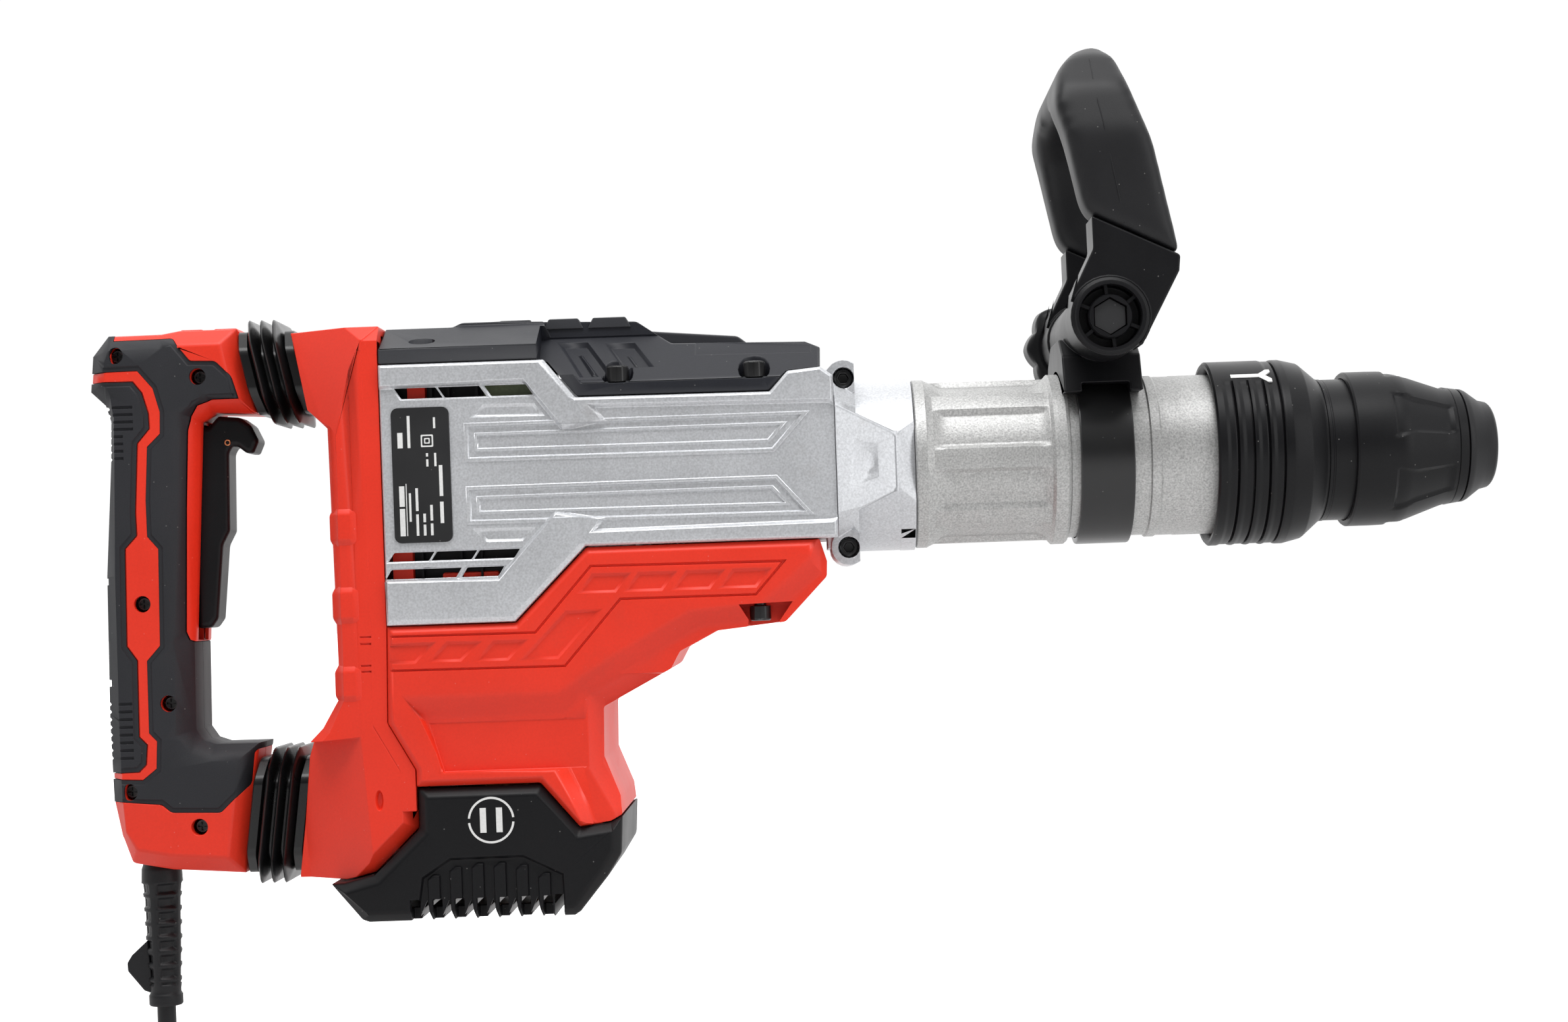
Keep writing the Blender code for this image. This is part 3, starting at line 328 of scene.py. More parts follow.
def carve(obj, recesses, place, low, high, clear=9.0, skin=0.03):
    """Cuts a relief of recesses into one face of a piece.

    Place turns (x, z, height over the face) into a point; low and high are the corners of the area worked on.
    The cutter is a block whose near face follows the recesses and whose far face stands clear of the piece.
    """
    points = [Vector(p) for p in (low, (high[0], low[1]), high, (low[0], high[1]))]
    edges = [(0, 1), (1, 2), (2, 3), (3, 0)]
    for outline, _, slopes in recesses:
        count, start = len(outline), len(points)
        for share, _ in LIP:
            base = len(points)
            points += [Vector(p) for p in inset(outline, [share * s for s in slopes])]
            edges += [(base + i, base + (i + 1) % count) for i in range(count)]
        edges += [(start + k * count + i, start + (k + 1) * count + i)
                  for k in range(len(LIP) - 1) for i in range(count)]
    flat, _, faces = delaunay_2d_cdt(points, edges, [], 0, 0.002)[:3]
    bm = bmesh.new()
    near, far = [], []
    for point in flat:
        depth = sum(pit_depth(recess, point.x, point.y) for recess in recesses)
        near.append(bm.verts.new(Vector(place(point.x, point.y, -depth - skin)) * MM))
        far.append(bm.verts.new(Vector(place(point.x, point.y, clear)) * MM))
    for face in faces:
        bm.faces.new([near[i] for i in face])
    twin = dict(zip(near, far))
    for edge in [edge for edge in bm.edges if len(edge.link_faces) == 1]:
        a, b = edge.verts
        bm.faces.new((a, b, twin[b], twin[a]))
    for face in faces:
        bm.faces.new([far[i] for i in face])
    return cut(obj, shape(bm))


def on_flank(side, surface):
    """Carve's place for a flat flank whose face is at |y| = surface."""
    return lambda x, z, height: (x, side * (surface + height), z)


def ribbon(path, width):
    """The outline of a narrow band along an open path."""
    left, right = [], []
    for i, here in enumerate(path):
        before, after = Vector(path[max(0, i - 1)]), Vector(path[min(len(path) - 1, i + 1)])
        middle = Vector(here)
        first = (middle - before).normalized() if i else (after - middle).normalized()
        second = (after - middle).normalized() if i < len(path) - 1 else first
        normal = Vector((-first.y - second.y, first.x + second.x))
        normal = normal * (width / max(0.4, normal.length_squared))
        left.append((here[0] + normal.x, here[1] + normal.y))
        right.append((here[0] - normal.x, here[1] - normal.y))
    return left + right[::-1]


def rim(outer, inner, side, low, high, slope):
    """A raised frame between two outlines of equally many points."""
    levels = [(outer, low), (inset(outer, slope), high), (inset(inner, -slope), high), (inner, low)]
    return loft([[(x, side * y, z) for x, z in line] for line, y in levels], True)


def hull(points):
    """The solid that wraps a cloud of points."""
    bm = bmesh.new()
    for point in points:
        bm.verts.new(Vector(point) * MM)
    bmesh.ops.convex_hull(bm, input=bm.verts)
    return shape(bm)


def rod(radius, start, stop, along="X", centre=(0.0, 0.0), steps=32, end_radius=None):
    """A round bar, or a cone when the end radius differs."""
    rings = []
    for c, r in ((start, radius), (stop, radius if end_radius is None else end_radius)):
        rings.append([placed(a, b, c, along) for a, b in oval(centre, r, r, steps)])
    return loft(rings)


def refined(profile, step):
    """A (position, radius) profile with long stretches divided, so that dents have points to move."""
    points = []
    for (x0, r0), (x1, r1) in zip(profile, profile[1:]):
        count = max(1, round(math.hypot(x1 - x0, r1 - r0) / step))
        points += [(x0 + (x1 - x0) * i / count, r0 + (r1 - r0) * i / count) for i in range(count)]
    return points + [profile[-1]]


def turned(outside, inside, steps, dent=None, along="X", centre=(0.0, 0.0)):
    """A turned ring from an outside and an inside profile, both running the same way.

    Dent changes the outside's radius: dent(position, radius, angle), with angle 0 at the right (-Y) side for
    a piece along X and growing towards the top.
    """
    rings = [[(x, dent(x, r, a) if dent else r, a) for a in around(steps)] for x, r in outside]
    rings += [[(x, r, a) for a in around(steps)] for x, r in reversed(inside)]
    return loft([[placed(centre[0] - r * math.cos(a), centre[1] + r * math.sin(a), x, along) for x, r, a in ring]
                 for ring in rings], True)


def ramp(value, start, stop):
    """0 before start, 1 after stop, straight in between."""
    return min(1.0, max(0.0, (value - start) / (stop - start)))


def between(value, start, stop, blend):
    """1 between start and stop, falling to 0 over blend outside them."""
    return ramp(value, start - blend, start) * ramp(-value, -stop - blend, -stop)


def drawn_in(obj, start, stop, amount, weight=None):
    """Moves what is past start along X by up to amount, reached at stop, so that the outline fits the photo's.

    Weight, of a vertex's x, y and z, is the share of the move that the vertex takes part in.
    """
    way = math.copysign(1.0, stop - start)
    for vertex in obj.data.vertices:
        x, y, z = vertex.co / MM
        share = ramp(way * x, way * start, way * stop) * (weight(x, y, z) if weight else 1.0)
        vertex.co.x += amount * share * MM
    return obj


SHARP_EDGE, CHAMFER_EDGE = 62, 24  # the least angles, in degrees, of a sharp corner and of a chamfer's edge


def soften(obj, wide=0.0, narrow=0.4, segments=2):
    """Bevels the piece's edges: wide on its chamfers' edges, narrow on its sharp corners."""
    widest = max(wide, narrow)
    bm = bmesh.new()
    bm.from_mesh(obj.data)
    weights = bm.edges.layers.float.new("bevel_weight_edge")
    for edge in bm.edges:
        if len(edge.link_faces) != 2:
            continue
        angle = math.degrees(edge.calc_face_angle(0.0))
        if angle > SHARP_EDGE:
            edge[weights] = narrow / widest
        elif angle > CHAMFER_EDGE:
            edge[weights] = 1.0
    bm.to_mesh(obj.data)
    bm.free()
    bevel = obj.modifiers.new("bevel", "BEVEL")
    bevel.limit_method = "WEIGHT"
    bevel.width = widest * MM
    bevel.segments = segments
    bevel.use_clamp_overlap = False
    bevel.miter_outer = "MITER_ARC" if segments > 2 else "MITER_SHARP"
    return smooth(bake(obj))


def smooth(obj, angle=34):
    """Smooth shading that leaves flat faces flat and rounds only the narrow bevels."""
    obj.data.shade_smooth()
    obj.data.set_sharp_from_angle(angle=math.radians(angle))
    even = obj.modifiers.new("even", "WEIGHTED_NORMAL")
    even.keep_sharp = True
    return bake(obj)


def curve_tube(points, radius, steps=10, closed=False):
    """A round tube through points, its ring turned to follow them."""
    rings = []
    count = len(points)
    for i, point in enumerate(points):
        before = Vector(points[i - 1 if closed else max(0, i - 1)])
        after = Vector(points[(i + 1) % count if closed else min(count - 1, i + 1)])
        along = (after - before).normalized()
        across = (across - along * across.dot(along) if i else along.orthogonal()).normalized()
        up = along.cross(across)
        rings.append([Vector(point) + (across * math.cos(a) + up * math.sin(a)) * radius for a in around(steps)])
    return loft(rings, closed)


def piece(obj, name, body, slot, finish):
    """Names a finished piece and gives it its material and the body it rides on; slot is not used."""
    obj.name = obj.data.name = name
    obj.data.materials.clear()
    obj.data.materials.append(finish)
    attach(obj, body)
    return obj


def stand_in(obj, node, finish):
    """A finished piece that takes a CAD node's place, on the node's body."""
    piece(obj, f"{node}_look", frame["nodes"][node]["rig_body"], SLOTS[node], finish)
    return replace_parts(obj, node)


# ---- materials


COLOUR_A, COLOUR_B, COLOUR_OUT = 6, 7, 2  # the Mix node's sockets for colours


def feed(node, inputs):
    """Gives a shader node's inputs their values, or links them to other nodes' outputs."""
    for socket, value in inputs.items():
        if isinstance(value, bpy.types.NodeSocket):
            node.id_data.links.new(value, node.inputs[socket])
        else:
            node.inputs[socket].default_value = value


def add(tree, kind, inputs=None, **settings):
    """Adds a shader node to a tree and returns its outputs."""
    node = tree.nodes.new(f"ShaderNode{kind}")
    for name, value in settings.items():
        setattr(node, name, value)
    feed(node, inputs or {})
    return node.outputs


def remap(value, low, high, out_low, out_high):
    """A node that maps low to high onto out_low to out_high, and stops at both ends."""
    limits = {"From Min": low, "From Max": high, "To Min": out_low, "To Max": out_high}
    return add(value.id_data, "MapRange", {"Value": value, **limits})["Result"]


def mixed(share, below, above):
    """A node that lays a plain colour over another node's colour."""
    return add(share.id_data, "Mix", {"Factor": share, COLOUR_A: below, COLOUR_B: (*above, 1.0)},
               data_type="RGBA")[COLOUR_OUT]


def material(name):
    """A new material and its shader node."""
    made = bpy.data.materials.new(name)
    made.use_nodes = True
    return made, made.node_tree.nodes["Principled BSDF"]


BROAD, STAIN_SIZE, DUST_PITCH = 42.0, 30.0, 5.5  # sizes of the broad blotches, smudges and dust specks, in mm
STAIN_COLOUR, DUST_COLOUR, WEAR_COLOUR = (0.10, 0.06, 0.045), (0.75, 0.73, 0.70), (0.5, 0.5, 0.5)


def surface(name, colour, roughness, metallic=0.0, grain=0.9, relief=0.02, blotch=0.1, speck=0.1, dust=0.0,
            gloss=0.5, wear=0.0, wear_colour=WEAR_COLOUR, stain=0.0, stain_size=STAIN_SIZE,
            stain_colour=STAIN_COLOUR):
    """A moulded, painted or cast surface: blotches, fine grain, dust and smudges over one base colour.

    blotch, speck: how far the colour strays over centimetres and over a grain. grain: size of a grain, and
    relief: its depth, in millimetres. dust: share of pale specks. wear: how bare the outer edges are. stain:
    share of the surface under a smudge. gloss: specular level.
    """
    made, shader = material(name)
    tree = made.node_tree
    place = add(tree, "TexCoord")["Object"]

    def noise(size, detail, rough):
        inputs = {"Vector": place, "Scale": 1000.0 / size, "Detail": detail, "Roughness": rough}
        return add(tree, "TexNoise", inputs)["Fac"]

    broad, fine = noise(BROAD, 4.0, 0.6), noise(grain, 2.0, 0.5)
    strays = [remap(value, 0.3, 0.7, 1.0 - by, 1.0 + by) for value, by in ((broad, blotch), (fine, speck))]
    tint = add(tree, "Math", dict(enumerate(strays)), operation="MULTIPLY")[0]
    shade = add(tree, "VectorMath", {0: colour, "Scale": tint}, operation="SCALE")[0]
    if stain:
        shade = mixed(remap(noise(stain_size, 8.0, 0.65), 0.60, 0.78, 0.0, stain), shade, stain_colour)
    if dust:
        spots = add(tree, "TexVoronoi", {"Vector": place, "Scale": 1000.0 / DUST_PITCH})["Distance"]
        shade = mixed(remap(spots, 0.035, 0.06, dust, 0.0), shade, DUST_COLOUR)
    if wear:
        edges = add(tree, "NewGeometry")["Pointiness"]
        shade = mixed(remap(edges, 0.53, 0.62, 0.0, wear), shade, wear_colour)
    bump = add(tree, "Bump", {"Strength": 1.0, "Distance": relief * MM, "Height": fine})["Normal"]
    feed(shader, {"Base Color": shade, "Roughness": remap(broad, 0.25, 0.75, roughness - 0.05, roughness + 0.06),
                  "Metallic": metallic, "Specular IOR Level": gloss, "Normal": bump})
    return made


RED = surface("red_plastic", (0.75, 0.032, 0.012), 0.42, relief=0.012, blotch=0.04, speck=0.03, dust=0.10,
              stain=0.10, gloss=0.36)
SILVER = surface("silver_paint", (0.56, 0.57, 0.59), 0.36, 0.5, relief=0.05, blotch=0.03, speck=0.13,
                 stain=0.16, stain_size=22.0, stain_colour=(0.30, 0.24, 0.20), gloss=0.4)
CAST = surface("cast_aluminium", (0.43, 0.43, 0.425), 0.50, 0.6, grain=0.8, relief=0.10, blotch=0.07,
               speck=0.24, stain=0.08, stain_colour=(0.22, 0.21, 0.20))
GRAPHITE = surface("grey_plastic", (0.013, 0.014, 0.019), 0.46, grain=1.0, blotch=0.12, speck=0.08,
                   dust=0.12, wear=0.12, gloss=0.28)
BLACK = surface("black_plastic", (0.0055, 0.0055, 0.0064), 0.38, relief=0.012, blotch=0.14, dust=0.16,
                gloss=0.18)
SOFT = surface("grip_rubber", (0.018, 0.0185, 0.022), 0.58, grain=0.6, relief=0.03, speck=0.08, dust=0.12,
               gloss=0.3)
DARK_SOFT = surface("dark_grip_rubber", (0.0075, 0.0075, 0.0088), 0.46, grain=0.6, blotch=0.12, speck=0.08,
                    dust=0.16, gloss=0.3)
RUBBER = surface("bellows_rubber", (0.006, 0.006, 0.0065), 0.28, grain=1.2, relief=0.008, blotch=0.15,
                 speck=0.06, dust=0.06, gloss=0.4)
STEEL = surface("machined_steel", (0.55, 0.55, 0.56), 0.28, 1.0, grain=0.4, blotch=0.06, speck=0.05)
BLACK_STEEL = surface("blackened_steel", (0.008, 0.008, 0.0085), 0.30, 0.2, grain=0.5, relief=0.01,
                      blotch=0.18, speck=0.06, dust=0.10, wear=0.25, wear_colour=(0.25, 0.25, 0.26))
COPPER = surface("copper_wire", (0.62, 0.26, 0.12), 0.35, 1.0, grain=0.8, relief=0.15, blotch=0.12, speck=0.15)
LAMINATIONS = surface("laminations", (0.16, 0.16, 0.17), 0.45, 0.9, grain=0.5, relief=0.05, speck=0.15)
LABEL = surface("label_film", (0.010, 0.010, 0.011), 0.38, grain=2.0, relief=0.004, blotch=0.2, speck=0.03,
                dust=0.15)
PRINT = surface("white_print", (0.72, 0.72, 0.71), 0.5, grain=1.0, relief=0.004, blotch=0.05, speck=0.05)
BOARD = surface("varnished_board", (0.10, 0.12, 0.06), 0.4, grain=1.5, blotch=0.2)
CARBON = surface("carbon", (0.03, 0.03, 0.03), 0.55, 0.1, grain=0.5, relief=0.03)


# ---- silver flanks

FIELD = [
    (-396.0, 38.6), (-327.5, 39.9), (-311.3, 19.0), (-296.5, 21.9), (-301.8, 28.2), (-199.4, 26.9),
    (-195.0, 24.6), (-195.0, -24.8), (-199.8, -25.6), (-302.6, -26.6), (-298.6, -21.4), (-315.8, -18.2),
    (-340.5, -45.4), (-396.0, -44.6),
]
COVER_OUTLINE = [
    (-388.6, 47.3), (-319.0, 47.3), (-306.0, 31.0), (-224.4, 30.6), (-216.6, 39.0), (-202.7, 40.3),
    (-196.0, 38.5), (-196.0, -31.8), (-304.0, -31.8), (-334.6, -62.5), (-388.6, -62.5),
]
COVER_BEVELS = (1.2, 2.8, 0.9, 0.9, 1.2, 0.9, 0.3, 1.6, 2.8, 2.8, 0.9)
STRIPS = ([(-352.6, 20.9), (-209.8, 21.1), (-223.7, 5.9), (-352.6, 6.2)],
          [(-352.6, -5.8), (-222.8, -5.5), (-209.0, -20.9), (-352.6, -20.2)])
CHEVRONS = ([(-351.4, 23.6), (-345.2, 29.6), (-323.4, 29.4), (-318.6, 23.4)],
            [(-351.6, -22.6), (-345.6, -29.0), (-330.2, -29.0), (-324.2, -22.8)])
# Each row of vents: top, bottom, where its slots start, their length, how far they lean
VENT_ROWS = [
    (37.3, 32.8, (-382.4, -364.0, -344.4), 17.5, -3.0),
    (-31.9, -35.6, (-384.6, -366.6, -348.6), 17.0, 2.5),
    (-39.0, -43.0, (-386.0, -371.9, -354.0), 15.5, 2.5),
]
PLATE = ((-384.0, -28.0), (-359.5, 29.0))


def slanted(left, top, bottom, length, lean):
    """A slot's outline, its lower edge moved back by lean."""
    return [(left, top), (left + length, top), (left + length - lean, bottom), (left - lean, bottom)]


# Each strip's steps: how far inside its outline, depth, width of the wall
STRIP_STEPS = ((-1.0, -0.5, 0.5), (0.5, 1.1, 0.7), (3.2, -0.45, 0.5), (4.4, 0.75, 0.6))


def side_cover(word):
    """A painted plate: sunk field inside a broad frame, two long framed channels, two small recesses."""
    node = f"side_cover_{word}"
    recesses = [pit(rect(-430.0, -90.0, -150.0, 80.0), 0.9, 0.5), pit(inset(COVER_OUTLINE, -0.2), -0.9, COVER_BEVELS),
                pit(FIELD, 1.9, 2.0)]
    for line in STRIPS:
        recesses += [pit(inset(line, by), depth, slope) for by, depth, slope in STRIP_STEPS]
    recesses += [pit(line, 0.8, 1.7) for line in CHEVRONS]
    for top, bottom, starts, length, lean in VENT_ROWS:
        for left in starts:
            recesses.append(pit(inset(slanted(left, top, bottom, length, lean), -0.8), 0.6, 0.7))
    body = carve(soften(copy_node(node), 0.4, 0.3), recesses, on_flank(SIDES[word], COVER_Y), (-400.0, -70.0),
                 (-185.0, 60.0))
    stand_in(smooth(body, 24), node, SILVER)


def behind_the_vents(word):
    """What shows through the cooling slots: red ducts and a rail, a varnished board and a black frame."""
    side = SIDES[word]
    for name, finish, slot, low, high in (
        ("duct", RED, "red_plastic", (-378.5, 27.0), (-369.5, 41.5)),
        ("board", BOARD, "black_plastic", (-346.0, 27.0), (-323.0, 41.0)),
        ("lower_duct", RED, "red_plastic", (-387.0, -45.5), (-377.0, -29.6)),
        ("lower_rail", RED, "red_plastic", (-366.0, -45.5), (-341.0, -40.4)),
    ):
        slab = flank(rounded(low, high, 1.5, 3), side, 36.0, 40.0, 0.8)
        piece(smooth(slab), f"vent_{name}_{word}", "housing", slot, finish)
    bars = [flank(rect(-387.5, low, -321.0, high), side, 34.0, 37.5, 0.4)
            for low, high in ((26.0, 42.6), (-47.0, -29.0))]
    for starts, thick, low, high in (((-374.0, -357.5, -349.0), 1.2, -46.5, -29.2),
                                     ((-368.4, -361.0, -349.0), 1.6, 26.2, 42.2)):
        bars += [flank(rect(x, low, x + thick, high), side, 37.0, 41.5, 0.2) for x in starts]
    piece(smooth(merge(*bars)), f"vent_frame_{word}", "housing", "black_plastic", BLACK)


# Each row of print: its place along X, its thickness, and each plain bar's start and length along Z
PLATE_ROWS = (
    (-381.4, 2.2, ((-25.0, 11.5), (-12.6, 8.6), (12.0, 6.5))),
    (-378.6, 0.35, ((-25.0, 22.0),)),
    (-377.4, 0.9, ((-19.0, 12.0),)),
    (-377.2, 1.2, ((12.0, 13.5),)),
    (-374.6, 1.1, ((-25.0, 9.0), (-14.6, 9.6))),
    (-371.6, 1.1, ((-25.0, 4.6), (-19.4, 3.6))),
    (-368.6, 1.1, ((-25.0, 5.0), (-18.8, 6.6))),
    (-364.4, 1.5, ((-20.0, 9.0), (-8.6, 13.0))),
    (-369.6, 0.9, ((4.0, 3.0), (8.2, 1.4))),
    (-366.2, 0.9, ((4.0, 5.6), (20.0, 4.6))),
)


def rating_plate():
    """A film label with plain bars where a real one has its text, and a plain double square."""
    film = flank(rounded(*PLATE, 3.0), -1, FIELD_Y - 0.1, FIELD_Y + 0.25, 0.1)
    stand_in(smooth(film), "rating_plate", LABEL)
    ink = FIELD_Y + 0.2, FIELD_Y + 0.32
    bars = [flank(rect(x, z, x + thick, z + length), -1, *ink) for x, thick, words in PLATE_ROWS
            for z, length in words]
    x, z = -369.0, 14.8
    for outer, inner, corner in ((2.6, 2.0, 0.4), (1.2, 0.7, 0.3)):
        lines = [rounded((x - half, z - half), (x + half, z + half), corner, 2) for half in (outer, inner)]
        bars.append(rim(*lines, -1, *ink, 0.01))
    piece(merge(*bars), "rating_plate_marks", "housing", "label", PRINT)


NOSE_FIELD = [(-212.0, 25.4), (-197.6, 24.8), (-172.6, 12.4), (-171.0, 10.6), (-171.0, -11.2), (-172.6, -13.6),
              (-197.9, -25.4), (-212.0, -25.8)]
NOSE_STEP = [(-190.6, 11.4), (-179.4, 7.6), (-179.2, -7.0), (-192.6, -13.4)]
COLLAR_R = 37.4


def gear_case():
    """The painted casting: on each nose flank a raised six-sided field with a step, round collar above it."""
    body = soften(copy_node("gear_case"), 0.4, 0.3)
    back, front = -188.4, -170.0
    for upright in (1, -1):
        outline = [(back, upright * 60.0), (back, upright * 20.6), (-172.4, upright * 12.9),
                   (front, upright * 12.9), (front, upright * 60.0)]
        shell = turned([(back, 70.0), (front, 70.0)], [(back, COLLAR_R), (front, COLLAR_R)], 72)
        body = cut(body, keep(shell, prism(outline, -60.0, 60.0)))
    recesses = [pit(rect(-214.0, 44.0, -160.0, -44.0), 1.1, 0.4), pit(NOSE_FIELD, -1.1, 1.3),
                pit(NOSE_STEP, 1.8, (5.0, 1.2, 5.0, 9.0))]
    for side in SIDES.values():
        def nose(x, z, height):
            return x + height * 0.36, side * (47.6 - (x + 197.2) * 0.389 + height * 0.93), z
        body = carve(body, recesses, nose, (-196.6, -33.0), (-169.5, 33.0), 14.0)
    stand_in(smooth(body, 30), "gear_case", SILVER)


# ---- barrel


def barrel():
    """Cast tube: eight raised lands between flat bottomed flutes, then the ring and the band's seat."""
    lands, flute_depth = 8, 2.3
    half_land, flute_wall = math.radians(7.0), math.radians(3.4)

    def dent(x, r, angle):
        pitch = 2 * math.pi / lands
        off = abs((angle + pitch / 2) % pitch - pitch / 2)
        lengthwise = between(x, -151.5, -108.6, 3.0)
        return r - flute_depth * lengthwise * ramp(off, half_land, half_land + flute_wall)

    outside = [
        (-163.2, 36.2), (-162.6, FLANGE_R), (-158.2, FLANGE_R), (-157.2, 36.2), (-155.4, 35.4), (-155.0, 35.3),
        (-152.5, 35.3), (-130.0, 35.3), (-107.6, 35.3), (-105.6, 35.4), (-105.0, 35.6), (-104.2, 36.6),
        (-103.6, RING_R), (-98.4, RING_R), (-97.2, 36.2), (-97.0, 35.2), (-96.6, 34.5), (-93.0, 34.4),
        (-68.0, 34.4), (-63.0, 34.4), (-62.4, 35.3), (-58.8, 35.3), (-58.0, 34.7), (-50.4, 34.7), (-50.0, 34.9),
        (-12.2, 34.9), (-12.0, 34.6),
    ]
    inside = [(-163.2, BORE_R), (-12.0, BORE_R)]
    body = turned(refined(outside, 3.0), inside, 360, dent)
    stand_in(smooth(body, 28), "barrel", CAST)


# ---- chuck


def index_ring():
    """The turning ring: hollow rear lip, saw-tooth fins that stop short of the top, and the neck."""
    fins = (-26.7, -20.0, -13.4, -7.0)
    top_gap, top_patch = math.radians(42.0), math.radians(5.0)
    ring_r, step = 40.3, 0.35

    def dent(x, r, angle):
        from_top = abs((angle - math.pi / 2 + math.pi) % (2 * math.pi) - math.pi)
        depth = 0.0
        for fin in fins:
            whole_way = fin == fins[-1] or from_top < top_patch
            share = 1.0 if whole_way else ramp(from_top, top_gap, top_gap + 0.05)
            groove = 1.3 * between(x, fin, fin + step, step) + 0.5 * between(x, fin - 3.0, fin, 1.5)
            depth = max(depth, share * groove)
        return r - depth

    outside = [(-34.0, 37.2), (-35.0, 38.0), (-35.0, 39.4), (-34.2, ring_r)]
    outside += [(-34.0 + step * i, ring_r) for i in range(90)]
    outside += [
        (-2.5, ring_r), (-1.2, 40.0), (5.0, 38.5), (5.8, 38.0), (12.0, 32.6), (12.8, 31.8), (13.3, 31.6),
        (13.5, 30.7), (14.0, 30.7), (14.3, 31.1), (15.6, 31.1), (15.9, 30.7), (16.4, 30.7), (16.7, 30.9),
        (26.0, 30.9), (26.5, 30.4),
    ]
    inside = [(-32.0, BARREL_R + 0.8), (26.5, HOLDER_R + 0.4)]
    body = turned(outside, inside, 180, dent)
    stand_in(smooth(body, 30), "index_ring", BLACK)
    stem = [(-26.5, -1.2), (-14.5, -1.2), (-11.0, -4.6), (-9.2, -4.6), (-9.2, -2.6), (-11.6, 0.0), (-9.2, 2.6),
            (-9.2, 4.6), (-11.0, 4.6), (-14.5, 1.2), (-26.5, 1.2)]
    lift = math.radians(52.0)
    rings = [[(x, -radius * math.cos(lift + b / ring_r), radius * math.sin(lift + b / ring_r)) for x, b in stem]
             for radius in (ring_r - 0.4, ring_r + 0.25)]
    piece(loft(rings), "index_pointer", "chuck", "label", PRINT)


def chuck_sleeve():
    """The pull-back sleeve with shallow flats let into its cone."""
    flats, first, flat_depth, blend = 6, 0.42, 1.1, math.radians(2.5)

    def dent(x, r, angle):
        pitch = 2 * math.pi / flats
        off = abs((angle - first + pitch / 2) % pitch - pitch / 2)
        lengthwise = between(x, 43.6, 68.0, 1.4)
        half = math.radians(17.0 - 4.0 * ramp(x, 43.0, 52.0))
        return r - flat_depth * lengthwise * ramp(-off, -half - blend, -half)

    outside = [(25.5, 32.3), (25.6, 33.2), (26.4, 33.8), (36.0, 33.8), (46.0, 33.6), (48.6, 33.1), (52.0, 31.8),
               (66.0, 26.7), (68.4, 26.0), (71.2, 25.5), (71.4, 25.1), (71.8, 25.4), (75.2, 24.9), (75.5, 24.6)]
    recess = HOLDER_R + 3.4
    inside = [(25.5, 31.3), (46.5, 31.3), (46.7, HOLDER_R + 0.5), (52.0, HOLDER_R + 0.5), (61.0, recess),
              (70.9, recess), (71.1, HOLDER_R + 0.6), (75.5, HOLDER_R + 0.6)]
    stand_in(smooth(turned(refined(outside, 1.2), inside, 216, dent), 30), "chuck_sleeve", BLACK)


def dust_cap():
    """The rubber cap round the bit's opening, its nose rounded over."""
    outside = [(75.8, 24.2), (76.1, 24.8), (77.4, 24.7), (79.0, 24.0), (86.0, 19.6)]
    outside += arc(87.8, 15.2, 4.2, math.radians(58), math.radians(-14), 6)
    inside = [(75.8, 16.9), (88.5, 16.9), (88.7, 9.9), (91.9, 9.9)]
    body = turned(outside, inside, 120)
    drawn_in(body, 78.0, 89.5, -1.8, lambda x, y, z: float(x > 89.5 or math.hypot(y, z) > 17.0))
    stand_in(smooth(body, 40), "dust_cap", DARK_SOFT)


# ---- dark top cover

TOP_RIBS = ((-339.6, -326.4), (-318.6, -306.0), (-299.6, -285.6))
SHOULDER_FOOT, SHOULDER_HEAD = Vector((45.0, 37.0)), Vector((22.0, 58.0))  # (y, z) on the long slope
TOP_CELLS = ([(-315.6, 57.0), (-301.9, 56.6), (-289.6, 39.6), (-304.4, 39.6)],
             [(-295.6, 56.0), (-281.6, 55.6), (-272.6, 43.4), (-286.4, 43.4)])


def top_cover():
    """The dark cover: two hatched recesses in each slope, blocks along the top and oval dimples behind."""
    body = soften(copy_node("top_cover"), 1.0, 0.6)
    recesses = []
    for outline in TOP_CELLS:
        recesses.append(pit(outline, 2.1, (1.6, 1.4, 1.2, 2.4)))
        recesses.append(pit(inset(outline, (5.0, 4.4, 1.6, 5.0)), -1.6, (1.4, 1.4, 0.8, 1.4)))
    recesses.append(pit([(-256.0, 55.5), (-206.0, 52.5), (-206.0, 47.6), (-256.0, 48.2)], 0.5, 0.8))
    foot = SHOULDER_FOOT
    run = (SHOULDER_HEAD - foot).normalized()
    for side in SIDES.values():
        def slope(x, z, height):
            y = foot.x + (z - foot.y) * run.x / run.y
            return x, side * (y + height * run.y), z - height * run.x
        body = carve(body, recesses, slope, (-322.0, 38.2), (-204.0, 58.4), 14.0)
        dimple = [(x, side * (y - inward), z) for x, y in oval((-371.0, 39.2), 5.6, 2.6)
                  for inward, z in ((0.0, 70.0), (0.0, 56.0), (1.0, 53.6))]
        body = cut(body, hull(dimple))
    extras = []
    for back, front in TOP_RIBS:
        section = [(back - 2.4, 62.4), (back, 66.9), (front, 66.9), (front + 2.4, 62.4)]
        extras.append(soften(prism(section, -23.0, 23.0), 0.6, 0.6))
    spine = [(-357.5, 64.0), (-356.0, 68.0), (-341.0, 68.4), (-272.0, 61.4), (-238.0, 58.4), (-233.6, 55.0),
             (-232.0, 52.0), (-357.0, 60.0)]
    extras.append(soften(prism(spine, -9.0, 9.0), 1.2, 1.2))
    stand_in(merge(smooth(body), *extras), "top_cover", GRAPHITE)


# ---- red housings

